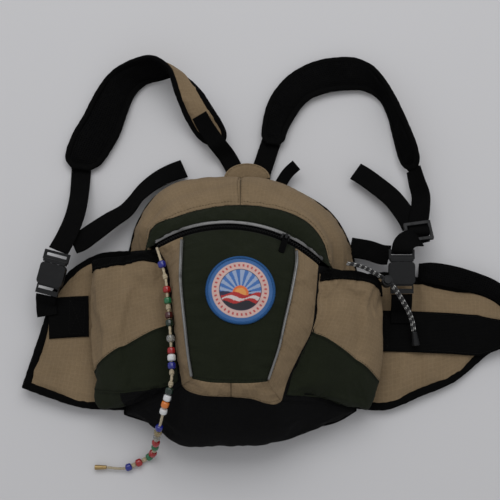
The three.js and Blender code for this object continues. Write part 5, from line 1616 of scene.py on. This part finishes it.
def strip(name, width, points, across, taper=None):
    """A webbing strip along points, its right edge to the side of across."""
    line = along(mm(points), 90)
    scale = None if taper is None else np.stack([taper, np.ones(91)], -1)
    obj = sweep(name + "_strip", line, flat_section(width, 1.7, across=14), finish("webbing"), across, scale)
    return piece(obj, "black_webbing", name)


def box_stitch(middle, along_x, half_x, half_y):
    """Lines of a box with a cross in it, sewn through a webbing end."""
    x, y = np.array(along_x), unit(np.cross([0, 0, 1.0], along_x))
    corners = [middle + x * a * half_x + y * b * half_y for a, b in ((-1, -1), (1, -1), (1, 1), (-1, 1))]
    path = [*corners, corners[0], corners[2], corners[3], corners[1]]
    return [spaced(np.array([a, b]), 8) for a, b in zip(path, path[1:])]


class PACK_OT_webbing(bpy.types.Operator):
    """Waist and shoulder webbing, their loose tails and the sewn boxes that hold them"""

    bl_idname = "pack.webbing"
    bl_label = "Webbing"

    def execute(self, context):
        """Builds the piece."""
        for name, (width, points, across) in STRIPS.items():
            strip(name, width, points, across)
        line = along(mm([[156, -34, 14.6], [172, -35, 15.9], [207, -36, 16.2], [250, -38, 16.4],
                         [290, -40, 15], [350, -32, 13.2]]), 90)
        taper = (BELT - (BELT - WEB) * ((line[:, 0] - 0.285) / 0.045).clip(0, 1)) / BELT
        belt = sweep("right_belt_strip", line, flat_section(BELT, 1.7, across=14), finish("webbing"),
                     [[0, 1, 0]],
                     np.stack([taper, np.ones(91)], -1))
        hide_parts("right_belt_webbing_root", "right_belt_webbing")
        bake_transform(belt)
        outer, inner = (spline(mm(edge)) for edge in LEFT_PAD)
        share = np.linspace(0.86, 1, 5)
        outer, inner = spaced(outer, 1000), spaced(inner, 1000)
        rows = []
        for t in share:
            k = min(int(t * 1000), 999)
            across = inner[k] - outer[k]
            tangent = unit(inner[k + 1] - inner[k]) + unit(outer[k + 1] - outer[k])
            normal = unit(np.cross(across, tangent))
            rows.append((inner[k] + outer[k]) / 2 + normal * np.sign(normal[2]) * 8.3 * MM)
        points = np.vstack([np.array(rows) / MM, [[-20, 189, 10.5], [-11, 172, 7.4], [-8, 158.6, 6.6]]])
        sides = [[0.6, 0.4, 0.5], [0.8, 0.4, 0.35], [0.9, 0.4, 0.2], [0.95, 0.3, 0], [1, 0.1, 0]]
        strip("left_anchor_webbing", WEB - 3, points, sides)
        boxes = []
        for middle, way, half in (((-200, -19, 24.3), (1, 0, 0), 9), ((166, -34.6, 16.6), (1, 0, 0), 8)):
            boxes += box_stitch(mm(middle), way, half * MM, 21 * MM)
        sew("belt_box_stitching", boxes, "thread_dark", "black_webbing", lift=np.array([0, 0, 1.0]))
        belt = along(mm([[222, -36, 17.2], [250, -38, 17.5], [290, -40, 16.1], [340, -34, 14.4]]), 80)
        half = (BELT / 2 - 2.5 - (BELT - WEB) / 2 * ((belt[:, 0] - 0.285) / 0.045).clip(0, 1)) * MM
        edges = [belt + np.outer(half * s, [0, 1.0, 0]) for s in (-1, 1)]
        sew("belt_edge_stitching", edges, "thread_dark", "black_webbing", body="right_belt")
        return {"FINISHED"}


# ---------------------------------------------------------------- buckles and locks
HARD_PARTS = {
    "left_buckle_socket": 1.1, "left_buckle_plug": 0.8, "right_buckle_socket": 1.1, "right_buckle_plug": 0.8,
    "waist_buckle_plug": 0.8, "waist_buckle_socket": 1.1, "right_ladder_lock": 0.9,
    "cord_lock_barrel": 0.6, "cord_lock_button": 0.5, "cord_end_cap": 1.0,
}


class PACK_OT_hardware(bpy.types.Operator):
    """Moulded buckles, ladder lock and cord lock with softened edges, and their spring"""

    bl_idname = "pack.hardware"
    bl_label = "Buckles and locks"

    def execute(self, context):
        """Builds the piece."""
        for name, bevel in HARD_PARTS.items():
            dress(name, "plastic", bevel)
        dress("cord_lock_spring", "steel")
        dress("lanyard_end", "brass", 0.4)
        return {"FINISHED"}


# ---------------------------------------------------------------- cords
CORD = 2.8
CORD_OUT = [[121, 32, 87.8], [131, 31.4, 84], [145, 29, 74], [156, 25.5, 65], [165, 21.4, 59.8]]
CORD_LOOP = [[176.6, 11.8, 59.4], [184, 4, 52], [191, -5, 45], [199, -17, 36], [203.4, -27, 29],
             [205, -36.6, 25.6]]
LANYARD = [
    [-99.5, 50.8, 86.9], [-94, 34, 92.4], [-88, 12, 91], [-86, -6, 91], [-84, -25, 91], [-82, -46, 92],
    [-80, -70, 93],
    [-79, -90, 94], [-79, -104, 96], [-82, -118, 95], [-86, -130, 90], [-91, -146, 76], [-97, -161, 56],
    [-101, -172, 34], [-105, -179, 14], [-111, -184, 5], [-124, -191, 5], [-140, -197, 5], [-160, -196, 5],
]
STRUNG = [
    (23, "blue"), (38, "knot"), (53, "red"), (66, "green"), (74, "knot"), (83, "dark_red"),
    (92, "dark_green"),
    (110, "clear"), (124, "red"), (132, "white"), (141, "blue"), (149, "knot"), (162, "knot"),
    (170, "dark_green"),
    (178, "white"), (186, "orange"), (195, "white"), (221, "blue"), (230, "amber"), (240, "clear"),
    (252, "red"),
    (264, "green"), (274, "knot"), (283, "red"), (292, "green"), (299, "knot"), (306, "red"), (313, "knot"),
    (319, "blue"),
]


def run_of(line, start, end, steps):
    """Part of a line between two distances from its start, in millimetres."""
    return at_distance(line, np.linspace(start, end, steps + 1) * MM)


class PACK_OT_shock_cord(bpy.types.Operator):
    """Doubled elastic cord from the pocket's hem through its lock to its end cap"""

    bl_idname = "pack.shock_cord"
    bl_label = "Shock cord"

    def execute(self, context):
        """Builds the piece."""
        line = along(mm(CORD_OUT + [[170.4, 17, 59.6]] + CORD_LOOP), 120)
        side = section_frames(line, [[0, 0.4, 0.9], [0.3, 0.5, 0.8], [0.9, 0.2, 0.3]])[0]
        nodes = ("shock_cord", "shock_cord_end")
        for k, sign in enumerate((-1, 1)):
            apart = sign * (CORD / 2 + 0.05) * MM
            path = line + side * apart
            obj = sweep(f"shock_cord_strand_{k + 1}", path, round_section(CORD / 2, 14), finish("cord"))
            piece(obj, "shock_cord", nodes[k])
        return {"FINISHED"}


CORD_TWIST = 0.0115
CORD_RADIUS = 1.62
BEAD_STEPS = 14
KNOT_RADIUS, KNOT_REACH, KNOT_TURNS, KNOT_STEPS = 1.25, 1.75, 2.5, 60


class PACK_OT_lanyard(bpy.types.Operator):
    """Twisted cream lanyard strung with glass beads and knots, with a brass end"""

    bl_idname = "pack.lanyard"
    bl_label = "Bead lanyard"

    def execute(self, context):
        """Builds the piece."""
        line = along(mm(LANYARD), 720)
        far = lengths(line)
        turn = np.linspace(0, 2 * np.pi, 18, endpoint=False)[None]
        twist = 2 * np.pi * far[:, None] / CORD_TWIST
        radius = CORD_RADIUS * MM * (0.8 + 0.2 * np.abs(np.cos(turn - twist)))
        section = np.stack([np.cos(turn) * radius, np.sin(turn) * radius], -1)
        cord = sweep("lanyard_cord", line, section, finish("cream"))
        piece(cord, "cream_cord", "bead_lanyard")
        half_size = context.scene.pack_sizes.bead / 2 / MM
        rng = np.random.default_rng(SEED)
        colours = sorted({kind for _, kind in STRUNG if kind != "knot"})
        for colour in colours:
            parts = []
            for distance in [d for d, kind in STRUNG if kind == colour]:
                size = half_size * rng.uniform(0.93, 1.04)
                length = size * 0.86
                run = run_of(line, distance - length, distance + length, BEAD_STEPS)
                share = np.linspace(-1, 1, BEAD_STEPS + 1)
                profile = size * (1 - np.abs(share) ** 5 * 0.5)
                parts.append(sweep_parts(run, round_section(1.0, 24), scale=profile))
            obj = joined_object(f"beads_{colour}", parts, "bead_" + colour)
            piece(obj, "cream_cord", body="pack")
        parts = []
        for distance in [d for d, kind in STRUNG if kind == "knot"]:
            run = run_of(line, distance - 2.4, distance + 2.4, KNOT_STEPS)
            across, up = section_frames(run, None)
            angle = np.linspace(0, 2 * np.pi * KNOT_TURNS, KNOT_STEPS + 1)[:, None]
            reach = KNOT_REACH * MM * (0.75 + 0.25 * np.sin(np.linspace(0, np.pi, KNOT_STEPS + 1)))[:, None]
            parts.append(sweep_parts(run + (across * np.cos(angle) + up * np.sin(angle)) * reach,
                                     round_section(KNOT_RADIUS, 8)))
        obj = joined_object("lanyard_knots", parts, "cream")
        piece(obj, "cream_cord", body="pack")
        return {"FINISHED"}


# ---------------------------------------------------------------- studio
FLOOR_REACH = 6.0
LAMP_SIZE = (2.2, 1.4)
LAMP_PLACE, LAMP_TILT = (0.0, 1.1, 1.9), -30
CAMERA_PLACE, CAMERA_TILT = [8.632, -232.506, 1212.870], 14
CAMERA_LENS, CAMERA_SENSOR, CAMERA_REACH = 72.0, 36.0, 20.0


class PACK_OT_studio(bpy.types.Operator):
    """Pale floor, large soft lamp, even surrounding light and the camera above the pack"""

    bl_idname = "pack.studio"
    bl_label = "Studio"

    def execute(self, context):
        """Builds the stage."""
        light = context.scene.pack_light
        material, _, shader = base_material("studio floor", 0.9)
        shader.inputs["Base Color"].default_value = (*light.floor, 1)
        shader.inputs["Specular IOR Level"].default_value = 0.1
        corners = [(x * FLOOR_REACH, y * FLOOR_REACH, 0) for x, y in ((-1, -1), (1, -1), (1, 1), (-1, 1))]
        floor = new_object("studio_floor", corners, [(0, 1, 2, 3)], [material])
        lamp = bpy.data.lights.new("large_lamp", "AREA")
        lamp.shape, lamp.size, lamp.size_y, lamp.energy = "RECTANGLE", *LAMP_SIZE, light.key
        lamp_object = bpy.data.objects.new("large_lamp", lamp)
        lamp_object.location = LAMP_PLACE
        lamp_object.rotation_euler = (math.radians(LAMP_TILT), 0, 0)
        context.scene.collection.objects.link(lamp_object)
        world = bpy.data.worlds.new("surrounding light")
        world.use_nodes = True
        world.node_tree.nodes["Background"].inputs[0].default_value = (1.0, 1.0, 1.01, 1)
        world.node_tree.nodes["Background"].inputs[1].default_value = light.fill
        context.scene.world = world
        camera = bpy.data.cameras.new("camera")
        camera.lens, camera.sensor_width, camera.clip_end = CAMERA_LENS, CAMERA_SENSOR, CAMERA_REACH
        camera_object = bpy.data.objects.new("camera", camera)
        camera_object.location = mm(CAMERA_PLACE)
        camera_object.rotation_euler = (math.radians(CAMERA_TILT), 0, 0)
        context.scene.collection.objects.link(camera_object)
        context.scene.camera = camera_object
        context.scene.view_settings.view_transform = "Standard"
        return {"FINISHED"}


# ---------------------------------------------------------------- sidebar panel and start
ORDER = [
    PACK_OT_studio, PACK_OT_shock_cord, PACK_OT_lanyard, PACK_OT_back_panel, PACK_OT_shell, PACK_OT_rain_band,
    PACK_OT_front_zip, PACK_OT_front, PACK_OT_patch, PACK_OT_bottle_pocket, PACK_OT_belt_wings,
    PACK_OT_shoulder_straps, PACK_OT_webbing, PACK_OT_hardware,
]


class PACK_PT_sidebar(bpy.types.Panel):
    """Pieces of the lumbar pack, in the order they are built"""

    bl_idname = "PACK_PT_sidebar"
    bl_label = "Lumbar pack"
    bl_space_type = "VIEW_3D"
    bl_region_type = "UI"
    bl_category = "Lumbar pack"

    def draw(self, context):
        """Lists the pieces and their settings."""
        for operator in ORDER:
            self.layout.operator(operator.bl_idname)
        for group in (context.scene.pack_colours, context.scene.pack_sizes, context.scene.pack_light):
            for name in group.__annotations__:
                self.layout.prop(group, name)


GROUPS = {"pack_colours": PackColours, "pack_sizes": PackSizes, "pack_light": StudioLight}


def register():
    """Adds the add-on's classes and settings."""
    for name, group in GROUPS.items():
        bpy.utils.register_class(group)
        setattr(bpy.types.Scene, name, bpy.props.PointerProperty(type=group))
    for operator in (*ORDER, PACK_PT_sidebar):
        bpy.utils.register_class(operator)


def unregister():
    """Removes the add-on's classes and settings."""
    for operator in (PACK_PT_sidebar, *reversed(ORDER)):
        bpy.utils.unregister_class(operator)
    for name, group in GROUPS.items():
        delattr(bpy.types.Scene, name)
        bpy.utils.unregister_class(group)


def main():
    """Builds the pack and the studio."""
    register()
    for operator in ORDER:
        make = getattr(bpy.ops.pack, operator.bl_idname.split(".")[1])
        if operator is PACK_OT_bottle_pocket:
            make(side="left")
            make(side="right")
        else:
            make()


if __name__ == "__main__":
    main()
